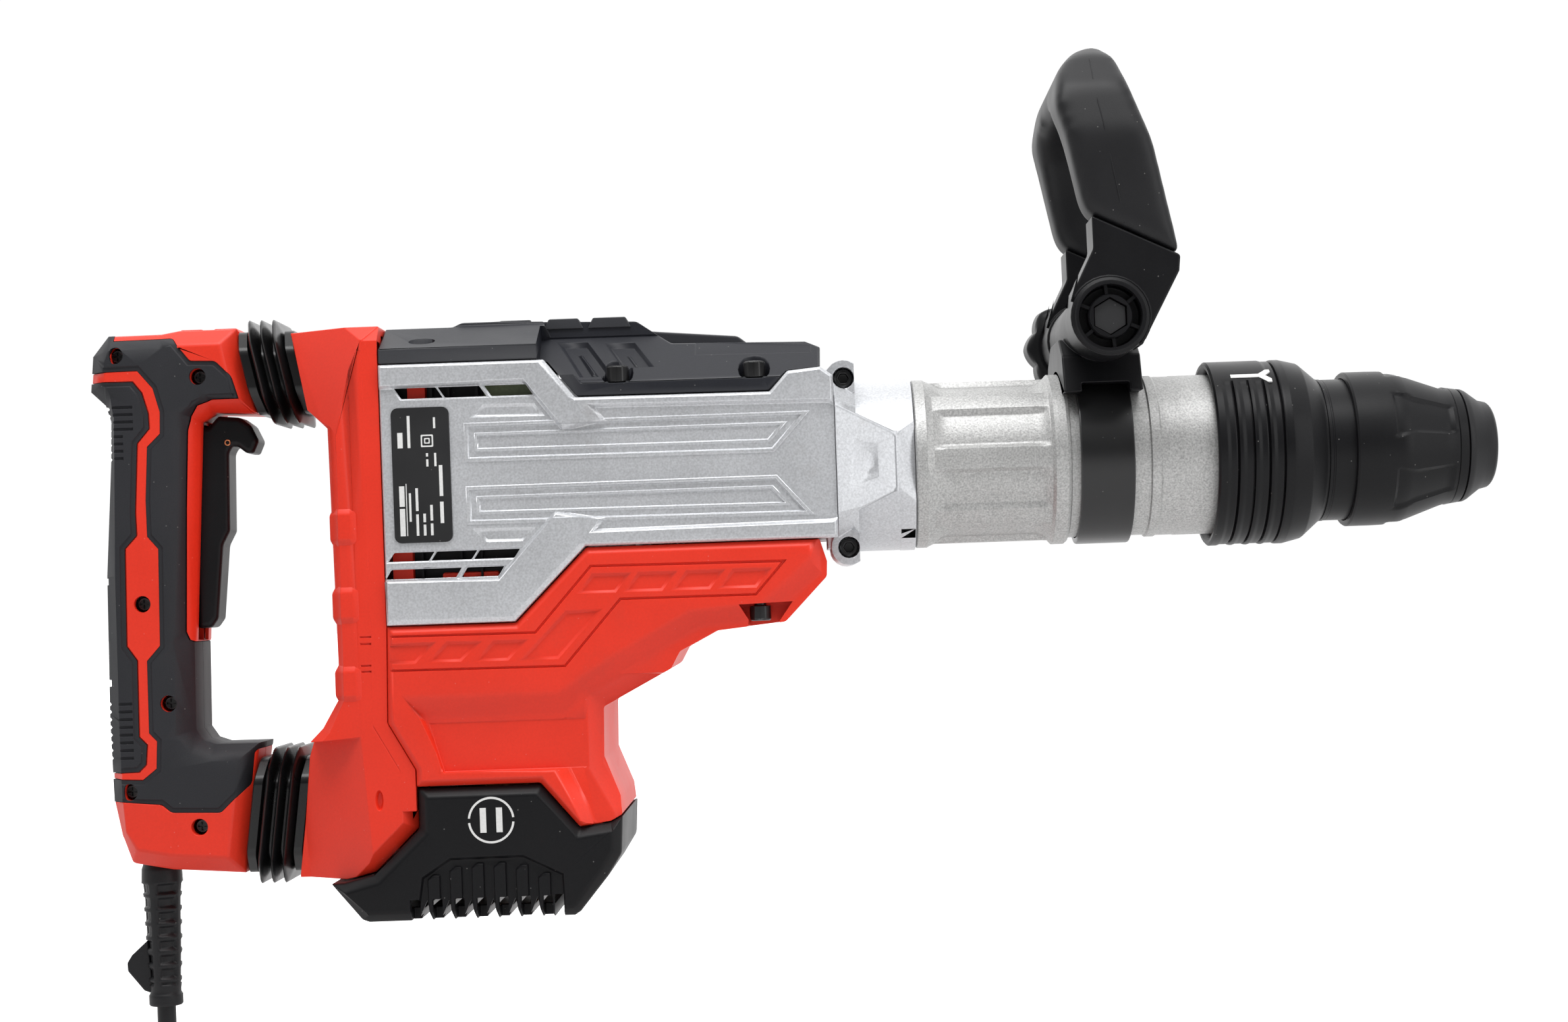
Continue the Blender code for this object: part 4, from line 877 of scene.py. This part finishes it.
BAND = [(-396.0, -67.1), (-326.2, -67.4), (-302.0, -40.3), (-220.8, -40.9), (-232.9, -54.6), (-290.0, -54.5),
        (-314.2, -81.9), (-396.0, -81.4)]
UPPER_CELLS = [slanted(left, -43.2, -52.0, 17.2, 7.3) for left in (-301.6, -282.1, -262.0, -242.4)]
LOWER_CELLS = [
    [(-396.0, -69.9), (-367.5, -69.6), (-376.9, -79.0), (-396.0, -79.0)],
    [(-363.7, -69.6), (-347.9, -69.9), (-357.8, -78.8), (-373.1, -78.7)],
    [(-344.1, -69.9), (-328.6, -69.8), (-337.8, -79.0), (-353.0, -79.0)],
    [(-313.2, -58.4), (-296.9, -58.0), (-316.8, -79.1), (-334.0, -79.2)],
]
WAIST = [(-383.6, -91.4), (-318.2, -91.8), (-294.1, -76.8), (-262.0, -59.6), (-237.4, -58.2), (-231.3, -57.2),
         (-211.4, -39.5), (-210.9, -22.0), (-185.0, -22.0), (-185.0, -185.0), (-288.0, -185.0), (-306.9, -150.3),
         (-320.6, -126.6), (-368.3, -126.2), (-368.6, -119.0), (-375.5, -103.5)]
WAIST_SLOPES = [11.5, 12.0, 10.5, 9.0, 9.0, 10.0, 7.0, 1.0, 1.0, 1.0, 8.0, 8.0, 7.2, 1.2, 1.2, 1.2]
FRONT_CORNER = [(-303.8, -92.0), (-303.8, -125.5), (-293.6, -143.7), (-292.6, -152.0), (-270.0, -152.0),
                (-270.0, -86.0), (-292.0, -86.0)]
BOLT_POCKET = [(-240.4, -58.6), (-217.6, -58.0), (-223.4, -66.0), (-223.4, -76.0), (-236.0, -76.0),
               (-236.0, -66.0)]
# How far the outlines of the housing and the base are drawn in: from x, fully at x, by how much
LOWER_FRONT = (-316.0, -304.0, -3.8)


def motor_housing():
    """The red housing: a grooved band with slanted cells, a sloped waist and chamfered front corners."""
    body = copy_node("motor_housing")
    for side in SIDES.values():
        low, high = sorted((side * 33.0, side * 43.0))
        corner = prism([(-308.0, -84.5), (-280.0, -84.5), (-280.0, -89.0), (-297.5, -99.0), (-297.5, -150.0),
                        (-308.0, -150.0)], low, high)
        boolean(body, [corner], "UNION")
    body = soften(body, 0.8, 0.5)
    recesses = [pit(ribbon(BAND, 1.3), 1.1, 0.45)]
    recesses += [pit(line, 1.2, 1.7) for line in UPPER_CELLS + LOWER_CELLS]
    recesses.append(pit(WAIST, 3.7, WAIST_SLOPES))
    recesses.append(pit(FRONT_CORNER, 6.0, (9.0, 9.0, 9.0, 1.0, 1.0, 1.0, 9.0)))
    for side in SIDES.values():
        body = carve(body, recesses, on_flank(side, HOUSING_Y), (-402.0, -190.0), (-180.0, -15.0), 9.0)
        body = cut(body, prism(BOLT_POCKET, *sorted((side * 33.4, side * 60.0))))
    drawn_in(body, *LOWER_FRONT, lambda x, y, z: ramp(-z, 84.0, 98.0))
    stand_in(smooth(body, 30), "motor_housing", RED)


FRONT_RIM = [(-389.1, 58.0), (-389.1, -63.0), (-390.1, -103.5), (-379.0, -123.4), (-379.0, -141.0)]
CASTELLATIONS = ((-12.0, -28.6), (-45.0, -61.6), (-78.4, -94.6))


def rear_cover():
    """The red cup behind, with bevelled blocks wrapped round its back edge."""
    body = soften(copy_node("rear_cover"), 0.5, 0.4)
    recesses = [pit(rect(-400.5, z + 0.5, -380.0, z - 0.5), 0.9, 0.3) for z in (-66.9, -69.8, -79.0, -81.5)]
    recesses.append(pit(oval((-394.6, -136.0), 1.9, 4.6), 2.2, 1.1))
    for z in (48.0, 38.8, -36.5, -62.0):
        wedge = [(-396.5, z + 3.2), (-386.0, z + 4.0), (-386.0, z - 0.6), (-396.5, z - 0.6)]
        recesses.append(pit(wedge, 0.7, (3.0, 1.0, 0.5, 3.0)))
    for side in SIDES.values():
        body = carve(body, recesses, on_flank(side, REAR_Y), (-401.6, -150.0), (-377.0, 54.0))
    blocks = [castellation(top, bottom) for top, bottom in CASTELLATIONS]
    for side in SIDES.values():
        back = [(x - 6.6, z) for x, z in reversed(FRONT_RIM)]
        blocks.append(soften(flank(FRONT_RIM + back, side, 38.0, REAR_Y), 0.4, 0.35))
        shoulder = [(34.0, 50.0), (44.7, 50.0), (44.7, 58.2), (38.9, 64.2), (34.0, 64.2)]
        blocks.append(soften(prism([(side * y, z) for y, z in shoulder], -395.4, -389.1, "X"), 0.4, 0.35))
    body = merge(smooth(body, 30), *blocks)
    drawn_in(body, -403.0, -420.4, 9.4, lambda x, y, z: ramp(abs(y), 0.0, 40.0) * between(z, -100.0, 20.0, 12.0))
    stand_in(body, "rear_cover", RED)


def castellation(top, bottom):
    """One raised block round the back of the cup, its ends sloped."""
    rings = []
    for z, out in ((top, -0.4), (top - 3.0, 1.4), (bottom + 3.0, 1.4), (bottom, -0.4)):
        right = [(-400.0, 44.9 + min(out, 0.0)), (-403.0, 45.0 + out * 0.8), (-413.6, 45.0 + out * 0.8),
                 (-420.4 - out, 38.6 + out * 0.4)]
        rings.append([(x, -y, z) for x, y in right] + [(x, y, z) for x, y in reversed(right)])
    return soften(loft(rings), 0.7, 0.7)


# ---- black base cover

COMB_PITCH, COMB_FIRST = 9.3, -373.8  # from tooth to tooth, and the back foot of the first
TOOTH_TOPS = (-167.6, -164.4, -163.2, -163.2, -164.4, -168.2)
HOOD = [(-381.4, -192.0), (-377.6, -168.4), (-365.4, -160.4), (-334.6, -160.2), (-317.6, -168.8),
        (-316.8, -192.0)]


def base_cover():
    """The base: on each flank a sunk field under a hood, with teeth between notches cut right through."""
    body = soften(copy_node("base_cover"), 1.2, 0.5)
    notches, teeth = [], []
    for i, top in enumerate(TOOTH_TOPS):
        x = COMB_FIRST + i * COMB_PITCH
        notches.append(prism([(x - 7.9, -192.0), (x - 1.9, -178.5), (x + 1.2, -192.0)], -60, 60))
        teeth.append([(x - 1.4, -192.0), (x - 1.4, top - 2.0), (x + 1.0, top), (x + 3.4, top),
                      (x + 4.0, top - 0.6), (x + 4.0, -192.0)])
    notches.append(prism([(-322.2, -192.0), (-322.2, -177.8), (-318.2, -177.8), (-318.2, -192.0)], -60, 60))
    body = cut(body, *notches)
    recesses = [pit(HOOD, 1.9, (1.2, 1.6, 1.8, 1.6, 1.2, 1.0))]
    recesses += [pit(line, -1.5, (0.5, 0.7, 0.7, 0.4, 0.4, 0.5)) for line in teeth]
    for side in SIDES.values():
        body = carve(body, recesses, on_flank(side, COVER_Y), (-420.0, -195.0), (-280.0, -120.0))
    drawn_in(body, *LOWER_FRONT)
    stand_in(smooth(body, 30), "base_cover", BLACK)
    base_mark()


def base_mark():
    """A plain ring broken in two with two short bars, in white print."""
    x, z = -347.4, -145.5
    gap, ink = 0.10, (COVER_Y - 0.1, COVER_Y + 0.15)
    marks = []
    for start in (0.0, math.pi):
        outer, inner = (arc(x, z, r, start + gap, start + math.pi - gap, 24) for r in (9.8, 8.9))
        marks.append(flank(outer + inner[::-1], -1, *ink))
    marks += [flank(rect(middle - 1.3, z - 5.2, middle + 1.3, z + 5.2), -1, *ink) for middle in (x - 3.4, x + 3.4)]
    piece(merge(*marks), "base_mark", "housing", "label", PRINT)


# ---- bellows

BELLOWS_LENGTH, BELLOWS_COLLAR, BELLOWS_RIBS, BELLOWS_BORE_R = 24.4, 4.4, 3, 13.5
# One fold: share of its pitch, how far out
BELLOWS_FOLD = ((0.08, -2.0), (0.33, 3.2), (0.40, 4.1), (0.50, 4.5), (0.60, 4.1), (0.67, 3.2), (0.92, -2.0))


def bellows(node, lean, z_middle, x_middle, half_height, half_width):
    """A folded rubber sleeve: two flat collars and three sharp folds."""
    pitch = (BELLOWS_LENGTH - 2 * BELLOWS_COLLAR) / BELLOWS_RIBS
    collar = [(0.0, -6.0), (0.0, -0.5), (0.5, 0.0), (BELLOWS_COLLAR - 0.4, 0.0), (BELLOWS_COLLAR, -0.6)]
    folds = [(BELLOWS_COLLAR + (fold + share) * pitch, out) for fold in range(BELLOWS_RIBS)
             for share, out in BELLOWS_FOLD]
    far_collar = [(BELLOWS_LENGTH - along, out) for along, out in reversed(collar)]
    back, front = x_middle - BELLOWS_LENGTH / 2, x_middle + BELLOWS_LENGTH / 2
    sections = [(along, rounded_octagon(half_width + out, half_height + out, 9.0))
                for along, out in collar + folds + far_collar]
    bore = [tuple(Vector(point).normalized() * BELLOWS_BORE_R) for point in sections[0][1]]
    sections += [(BELLOWS_LENGTH, bore), (0.0, bore)]
    rings = [[(back + along + lean * z, y, z_middle + z) for y, z in section] for along, section in sections]
    body = stand_in(smooth(loft(rings, True), 30), node, RUBBER)
    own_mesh(body)


# Each coil, the joint that shortens it, where its still end stands, and what share of its length it keeps
SPRINGS = (
    ("isolator_spring_upper", "handle_isolation", -429.4, 0.62),
    ("isolator_spring_lower", "handle_isolation", -433.2, 0.62),
    ("chuck_spring", "sleeve_release", 7.0, 0.72),
)


def springs():
    """The coils at the handle and at the chuck's sleeve, copied from their CAD nodes."""
    for node, joint, still_end, share in SPRINGS:
        coil = stand_in(smooth(copy_node(node)), node, STEEL)
        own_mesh(coil)


def rounded_octagon(wide, tall, corner):
    """An octagon's outline in (y, z) with each corner rounded by four points."""
    sharp = [(wide, -tall + corner), (wide, tall - corner), (wide - corner, tall), (-wide + corner, tall)]
    sharp = [Vector(point) for point in sharp]
    sharp += [-point for point in sharp]
    outline = []
    for i, here in enumerate(sharp):
        a, b = (here + (other - here).normalized() * 2.6 for other in (sharp[i - 1], sharp[(i + 1) % 8]))
        outline += [tuple(a * (1 - t) ** 2 + here * 2 * t * (1 - t) + b * t * t) for t in (0.0, 0.33, 0.67, 1.0)]
    return outline


# ---- rear handle

UPPER_STRIP = [(-530.0, 51.2), (-516.0, 51.0), (-497.3, 51.2), (-490.8, 43.4), (-488.0, 33.0), (-488.3, 23.5),
               (-494.0, 18.0), (-495.4, -5.0), (-495.3, -20.5), (-490.7, -26.0), (-491.4, -68.0), (-497.2, -74.4),
               (-497.4, -105.4), (-494.1, -109.0), (-494.7, -121.0), (-500.8, -125.8), (-530.0, -124.6),
               (-530.0, -122.4), (-502.4, -122.0), (-499.3, -119.0), (-498.6, -110.5), (-501.9, -107.0),
               (-501.6, -74.0), (-505.9, -67.7), (-505.2, -25.5), (-500.0, -20.0), (-500.2, -10.0),
               (-498.4, 19.8), (-493.0, 26.0), (-493.2, 32.5), (-495.7, 41.4), (-499.5, 46.3), (-530.0, 46.5)]
FRONT_STRIP = [(-440.0, 38.0), (-466.2, 38.0), (-472.5, 35.6), (-475.8, 30.9), (-477.3, 24.7), (-479.0, -8.5),
               (-481.2, -62.2), (-480.0, -66.0), (-475.1, -68.3), (-466.0, -64.0), (-455.0, -40.0), (-440.0, 10.0)]
SCREW_WELLS = ((-506.5, 57.9), (-471.1, 47.7), (-498.7, -49.7), (-488.5, -93.0), (-506.6, -130.7), (-476.9, -146.7))


PAD_RIM_ABOVE = [(-485.5, 82.0), (-484.6, 64.0), (-475.4, 52.3), (-464.4, 51.9), (-458.8, 46.4), (-455.8, 35.9),
                 (-452.0, 28.0), (-438.0, 28.0), (-438.0, 82.0)]
PAD_RIM_BELOW = [(-450.0, -106.0), (-455.6, -116.2), (-457.2, -128.0), (-468.6, -138.5), (-488.0, -137.8),
                 (-492.2, -134.2), (-520.0, -132.6), (-545.0, -132.6), (-545.0, -150.0), (-438.0, -150.0),
                 (-438.0, -106.0)]
RIDGES = ((35.4, 13.4, 8), (-92.6, -116.0, 8))


def grip_ridges():
    """The grooves across the back of the grip, in two groups, as recesses on its flank."""
    made = []
    for first, last, count in RIDGES:
        for i in range(count):
            z = first + (last - first) * i / (count - 1)
            reach = -499.5 if first > 0 and i < 4 else -504.0
            made.append(pit(rect(-540.0, z + 0.75, reach, z - 0.75), 0.9, 0.5))
    return made


def back_notches(side):
    """The same grooves seen on the grip's back face."""
    low, high = sorted((0.0, side * 30.0))
    made = []
    for first, last, count in RIDGES:
        back = -514.4 if first > 0 else -518.4
        for i in range(count):
            z = first + (last - first) * i / (count - 1)
            made.append(prism([(-540.0, z + 2.0), (back - 0.8, z + 0.8), (back, z), (back - 0.8, z - 0.8),
                               (-540.0, z - 2.0)], low, high))
    for z in (-39.5, -83.5):
        made.append(prism([(-540.0, z + 3.4), (-518.0, z + 1.4), (-518.0, z - 1.4), (-540.0, z - 3.4)], low, high))
    return made


# How far the handle's back is drawn in: from x, fully at x, by how much
HANDLE_BACK = (-508.0, -514.5, 3.8)


def wells(side, centres=SCREW_WELLS):
    """Cutters for the screw wells, open on one flank."""
    return [rod(3.6, side * 12.0, side * 30.0, "Y", centre, 24) for centre in centres]


def handle():
    """Shell halves, soft skins with their grooves and stepped borders, and the red strips let into them."""
    for word, side in SIDES.items():
        shell = copy_node(f"handle_shell_{word}")
        shell = soften(cut(shell, *wells(side)), 1.2, 0.3, 3)
        drawn_in(shell, *HANDLE_BACK)
        stand_in(shell, f"handle_shell_{word}", RED)
        grip_skin(word, side)
        for number, centre in enumerate(SCREW_WELLS):
            head = handle_screw(centre, side)
            piece(head, f"handle_screw_{word}_{number + 1}", "rear_handle", "black_steel", BLACK_STEEL)
    bumps = []
    for back, front in ((-479.6, -470.4), (-465.0, -455.6)):
        section = [(back - 1.6, 66.8), (back, 68.9), (front, 68.9), (front + 1.6, 66.8), (front + 1.6, 64.0),
                   (back - 1.6, 64.0)]
        bumps.append(soften(prism(section, -12.5, 12.5), 0.5, 0.5))
    piece(merge(*bumps), "handle_bumps", "rear_handle", "red_plastic", RED)


def grip_skin(word, side):
    """One half's soft skin, and the red inlay that shows in its slots."""
    node = f"grip_skin_{word}"
    strips = (UPPER_STRIP, FRONT_STRIP)
    slots = [prism(line, -60.0, 60.0) for line in strips]
    inlay = keep(copy_node(node), merge(*[prism(inset(line, 0.35), -60.0, 60.0) for line in strips]))
    inlay = cut(inlay, *wells(side, SCREW_WELLS[2:3]))
    inlay.data.transform(Matrix.Translation((0.35 * MM, -side * 0.45 * MM, 0)))
    drawn_in(inlay, *HANDLE_BACK)
    piece(smooth(inlay, 50), f"grip_inlay_{word}", "rear_handle", "red_plastic", RED)
    skin = cut(copy_node(node), *back_notches(side))
    rims = [pit(line, 0.7, 0.6) for line in (*[inset(line, -2.2) for line in strips], PAD_RIM_ABOVE, PAD_RIM_BELOW)]
    skin = carve(skin, rims + grip_ridges(), on_flank(side, GRIP_Y), (-550.0, -160.0), (-430.0, 85.0))
    skin = smooth(drawn_in(cut(skin, *slots, *wells(side)), *HANDLE_BACK), 50)
    stand_in(skin, node, SOFT)


def handle_screw(centre, side):
    """A round screw head at the bottom of a well, with a crossed recess."""
    head = rod(3.1, side * 13.0, side * 15.6, "Y", centre, 20, 2.6)
    blades = []
    for long, short in ((1.9, 0.45), (0.45, 1.9)):
        blade = rect(centre[0] - long, centre[1] - short, centre[0] + long, centre[1] + short)
        blades.append(prism(blade, *sorted((side * 14.4, side * 20.0))))
    return smooth(cut(head, *blades))


def trigger():
    body = copy_node("trigger")
    soften(body, 1.0, 0.8, 3)
    drawn_in(body, -470.0, -454.0, -3.4)
    stand_in(smooth(body), "trigger", BLACK)
    ring = [(x, -8.25, z) for x, z in oval((-462.1, 19.6), 1.1, 1.1)]
    piece(smooth(curve_tube(ring, 0.35, 8, True), 60), "trigger_pin_ring", "trigger", "copper", COPPER)


# ---- cord

CORD_X = -499.5


def cord():
    """Bending sleeve with rows of windows, and the cable cut off below it."""

    def dent(z, r, angle):
        row = (z + 171.0) % 6.2
        quarter = (angle - 0.35) % (math.pi / 2)
        window = between(row, 1.2, 4.6, 0.4) * between(quarter, 0.25, 1.2, 0.10)
        return r - 1.5 * window * between(z, -216.0, -172.5, 0.5)

    outside = [(-151.0, 7.9), (-164.0, 7.9), (-166.0, 8.6), (-172.0, 8.9), (-178.0, 8.2), (-199.0, 7.7),
               (-216.0, 7.0), (-219.0, 6.6), (-220.4, 6.6), (-221.6, 7.3), (-225.4, 7.3), (-226.0, 6.9)]
    inside = [(-151.0, 4.3), (-226.0, 4.3)]
    body = turned(refined(outside, 0.7), inside, 96, dent, "Z", (CORD_X, 0.0))
    tab = [(-506.0, -197.0), (-513.4, -203.6), (-515.6, -207.0), (-515.4, -210.6), (-508.4, -219.4), (-504.0, -221.0)]
    hook = soften(prism(tab, -2.6, 2.6), 0.8, 0.8, 3)
    body = merge(body, hook)
    stand_in(smooth(body), "cord_sleeve", DARK_SOFT)
    low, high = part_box("power_cord")
    bottom = low.z / MM
    cable = turned([(-140.0, 4.0), (bottom + 0.5, 4.0), (bottom, 3.6)], [(-140.0, 3.2), (bottom + 1.2, 3.1),
                   (bottom + 0.6, 3.0)], 40, None, "Z", (CORD_X, 0.0))
    parts = [cable, rod(3.25, -141.0, bottom + 1.4, "Z", (CORD_X, 0.0), 24)]
    stand_in(smooth(merge(*parts)), "power_cord", DARK_SOFT)
    for number, off in enumerate((-1.3, 1.3)):
        core = rod(1.15, bottom + 0.1, bottom + 3.0, "Z", (CORD_X, off), 16)
        piece(smooth(core), f"cord_conductor_{number + 1}", "rear_handle", "copper", COPPER)


# ---- side handle


def soft_form(obj, voxel, rounds, swell):
    """Rounds a solid all over like thick moulded rubber."""
    remesh = obj.modifiers.new("remesh", "REMESH")
    remesh.mode = "VOXEL"
    remesh.voxel_size = voxel * MM
    relax = obj.modifiers.new("relax", "SMOOTH")
    relax.iterations = rounds
    relax.factor = 0.5
    push = obj.modifiers.new("push", "DISPLACE")
    push.mid_level = 0.0
    push.strength = swell * MM
    bake(obj)
    obj.data.shade_smooth()
    return obj


def on_surface(obj, side, points):
    """The points' places on the outside of a piece, seen square from one side."""
    found = []
    for x, z in points:
        hit, where, _, _ = obj.ray_cast(Vector((x, side * 120.0, z)) * MM, Vector((0.0, -side, 0.0)))
        if hit:
            found.append(tuple(where / MM))
    return found


MOULD_SEAM = [(-84.8, 166.0), (-84.6, 156.0), (-83.6, 146.0), (-81.6, 134.0), (-79.0, 118.0), (-76.4, 104.0),
              (-74.6, 94.0)]


def side_handle():
    grip = copy_node("side_handle_grip")
    soft_form(grip, 1.7, 44, 0.5)
    seams = []
    for side in SIDES.values():
        line = on_surface(grip, side, MOULD_SEAM)
        if len(line) > 2:
            seams.append(smooth(curve_tube(line, 0.28, 8), 70))
    stand_in(merge(grip, *seams), "side_handle_grip", DARK_SOFT)
    legs = copy_node("side_handle_base")
    soften(legs, 1.0, 1.0, 3)
    stand_in(smooth(legs), "side_handle_base", BLACK)
    spoke = rect(7.6, -0.7, 13.4, 0.7)
    spokes = [flank(spun(spoke, math.radians(97 + i * 60), BOLT), -1, 56.0, 62.2) for i in range(6)]
    ring = turned([(-62.6, 8.6), (-62.6, 9.0), (-62.2, 9.3), (-56.0, 9.3)],
                  [(-62.6, 8.2), (-56.0, 8.2)], 48, None, "Y", BOLT)
    lip = turned([(-64.4, 14.2), (-64.6, 14.8), (-64.0, 15.9), (-58.0, 15.9)],
                 [(-64.4, 13.2), (-58.0, 13.0)], 64, None, "Y", BOLT)
    hexagon = rim(oval(BOLT, 9.0, 9.0, 24), hexagon_ring(7.7), -1, 57.0, 63.6, 0.2)
    piece(smooth(merge(*spokes, ring, lip, hexagon)), "side_handle_cup", "side_handle", "black_plastic", BLACK)


def hexagon_ring(reach):
    """A hexagon drawn with 24 points, to pair with a round outline."""
    outline = []
    for angle in around(24):
        off = (angle + math.pi / 6) % (math.pi / 3) - math.pi / 6
        radius = reach * math.cos(math.pi / 6) / math.cos(off)
        outline.append((BOLT[0] + radius * math.cos(angle), BOLT[1] + radius * math.sin(angle)))
    return outline


def clamp():
    low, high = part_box("clamp_band")
    back, front = low.x / MM, high.x / MM
    outer, inner = BARREL_R + 2.9, BARREL_R + 0.3
    profile = [(back, outer - 0.8), (back + 0.2, outer - 0.2), (back + 0.8, outer), (front - 0.8, outer),
               (front - 0.2, outer - 0.2), (front, outer - 0.8)]
    strap = turned(profile, [(back, inner), (front, inner)], 160)
    stand_in(smooth(strap), "clamp_band", BLACK_STEEL)
    block = soften(copy_node("clamp_block"), 1.2, 0.8, 3)
    stand_in(smooth(block), "clamp_block", BLACK)
    lobes = 8

    def dent(y, r, angle):
        off = abs((angle * lobes / (2 * math.pi)) % 1.0 - 0.5) * 2.0
        return r - 2.8 * (1.0 - off) ** 1.5 * between(y, 66.5, 84.0, 1.5)

    outside = [(63.9, 17.4), (64.4, 18.2), (65.6, 21.0), (66.8, 22.6), (68.0, 23.0), (78.6, 23.6), (80.6, 23.2),
               (82.2, 21.6), (83.0, 18.0), (82.6, 12.0), (81.6, 11.0), (81.4, 7.4)]
    inside = [(63.9, 5.6), (80.6, 5.6), (81.0, 7.0)]
    knob = turned(refined(outside, 1.5), inside, 160, dent, "Y", BOLT)
    stand_in(smooth(knob, 40), "clamp_knob", BLACK)


# ---- carried-over CAD nodes

FINISHES = {
    "steel": STEEL, "black_steel": BLACK_STEEL, "laminations": LAMINATIONS, "copper": COPPER, "carbon": CARBON,
    "red_plastic": RED, "silver_paint": SILVER, "cast_aluminium": CAST, "grey_plastic": GRAPHITE,
    "black_plastic": BLACK, "grip_rubber": SOFT, "rubber": RUBBER, "label": LABEL,
}


def screws():
    """The visible screws get rounded heads."""
    names = [n for n in frame["nodes"] if n.startswith(("case_screw", "case_bolt", "top_cover_screw"))]
    for node in sorted(names) + ["clamp_bolt"]:
        body = soften(copy_node(node), 0.5, 0.4)
        stand_in(smooth(body), node, BLACK_STEEL)


def carried_over():
    """Every CAD node that still shows gets softened edges and its procedural finish."""
    for node, obj in frame["nodes"].items():
        if obj.hide_render:
            continue
        finish = FINISHES.get(SLOTS.get(node), STEEL)
        obj.data.materials.clear()
        obj.data.materials.append(finish)
        weld = obj.modifiers.new("weld", "WELD")
        weld.merge_threshold = 0.01 * MM
        bevel = obj.modifiers.new("bevel", "BEVEL")
        bevel.width = 0.25 * MM
        bevel.segments = 2
        bevel.limit_method = "ANGLE"
        bevel.angle_limit = math.radians(40)


# ---- studio

CAMERA = (-210.0, -1058.0, -51.9)
FOCAL, FRAME_WIDTH, FRAME_HEIGHT = 3650.0, 2380.0, 1552.0
HORIZON = (1230.0, 890.0)  # where the direction straight ahead falls in the frame
ROLL = math.radians(2.0)


def camera():
    data = bpy.data.cameras.new("camera")
    made = bpy.data.objects.new("camera", data)
    bpy.context.scene.collection.objects.link(made)
    data.sensor_width = 36.0
    data.lens = FOCAL / FRAME_WIDTH * data.sensor_width
    data.shift_x = (FRAME_WIDTH / 2 - HORIZON[0]) / FRAME_WIDTH
    data.shift_y = (HORIZON[1] - FRAME_HEIGHT / 2) / FRAME_WIDTH
    right = Vector((math.cos(ROLL), 0.0, -math.sin(ROLL)))
    up = Vector((math.sin(ROLL), 0.0, math.cos(ROLL)))
    turn = Matrix((right, up, right.cross(up))).transposed()
    made.matrix_world = Matrix.Translation(Vector(CAMERA) * MM) @ turn.to_4x4()
    bpy.context.scene.camera = made


def light(name, where, target, size, power):
    data = bpy.data.lights.new(name, "AREA")
    data.shape = "RECTANGLE"
    data.size, data.size_y = size
    data.energy = power
    made = bpy.data.objects.new(name, data)
    bpy.context.scene.collection.objects.link(made)
    made.location = where
    made.rotation_mode = "QUATERNION"
    made.rotation_quaternion = (Vector(target) - Vector(where)).to_track_quat("-Z", "Y")


BACKDROP, FLOOR_COLOUR, FLOOR_GLOW, FLOOR_IN_REFLECTIONS = 1.02, 0.55, 0.9, 0.32


def world():
    """A white surround, brighter behind and above the hammer than in front of it."""
    made = bpy.data.worlds.new("studio")
    bpy.context.scene.world = made
    made.use_nodes = True
    tree = made.node_tree
    way = add(tree, "SeparateXYZ", {0: add(tree, "TexCoord")["Generated"]})
    parts = [remap(way["Z"], -1.0, 1.0, -0.10, 1.40), remap(way["Y"], -1.0, 1.0, -0.70, 0.70)]
    total = add(tree, "Math", dict(enumerate(parts)), operation="ADD")[0]
    path = add(tree, "LightPath")["Is Camera Ray"]
    seen = add(tree, "Mix", {"Factor": path, "A": total, "B": BACKDROP})["Result"]
    feed(tree.nodes["Background"], {"Strength": seen, "Color": (1.0, 1.0, 1.0, 1.0)})


def floor():
    """A plain pale floor just under the lowest point. It glows for the camera, and less in reflections."""
    bm = bmesh.new()
    bmesh.ops.create_grid(bm, x_segments=8, y_segments=8, size=14.0)
    made = shape(bm)
    made.name = made.data.name = "floor"
    made.location.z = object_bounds()[0].z - 0.002
    pale, shader = material("pale_floor")
    tree = shader.id_data
    path = add(tree, "LightPath")
    seen = add(tree, "Math", {0: path["Is Glossy Ray"], 1: FLOOR_IN_REFLECTIONS, 2: path["Is Camera Ray"]},
               operation="MULTIPLY_ADD", use_clamp=True)[0]
    glow = add(tree, "Math", {0: seen, 1: FLOOR_GLOW}, operation="MULTIPLY")[0]
    feed(shader, {"Base Color": (*[FLOOR_COLOUR] * 3, 1.0), "Roughness": 0.9,
                  "Emission Color": (1.0, 1.0, 1.0, 1.0), "Emission Strength": glow})
    made.data.materials.append(pale)
    made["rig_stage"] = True


def studio():
    world()
    light("key", (-0.25, -0.62, 1.30), (-0.2, 0.0, -0.02), (1.3, 0.6), 17.0)
    light("fill", (0.9, -0.9, 0.35), (-0.2, 0.0, -0.02), (0.6, 1.0), 4.0)
    floor()
    camera()
    bpy.context.scene.view_settings.view_transform = "Standard"


for word in SIDES:
    side_cover(word)
    behind_the_vents(word)
rating_plate()
gear_case()
barrel()
index_ring()
chuck_sleeve()
dust_cap()
top_cover()
motor_housing()
rear_cover()
base_cover()
bellows("bellows_upper", -0.214, 49.0, -438.8, 18.2, 22.0)
bellows("bellows_lower", 0.134, -143.0, -442.6, 25.0, 22.0)
handle()
trigger()
cord()
side_handle()
clamp()
screws()
springs()
carried_over()
studio()
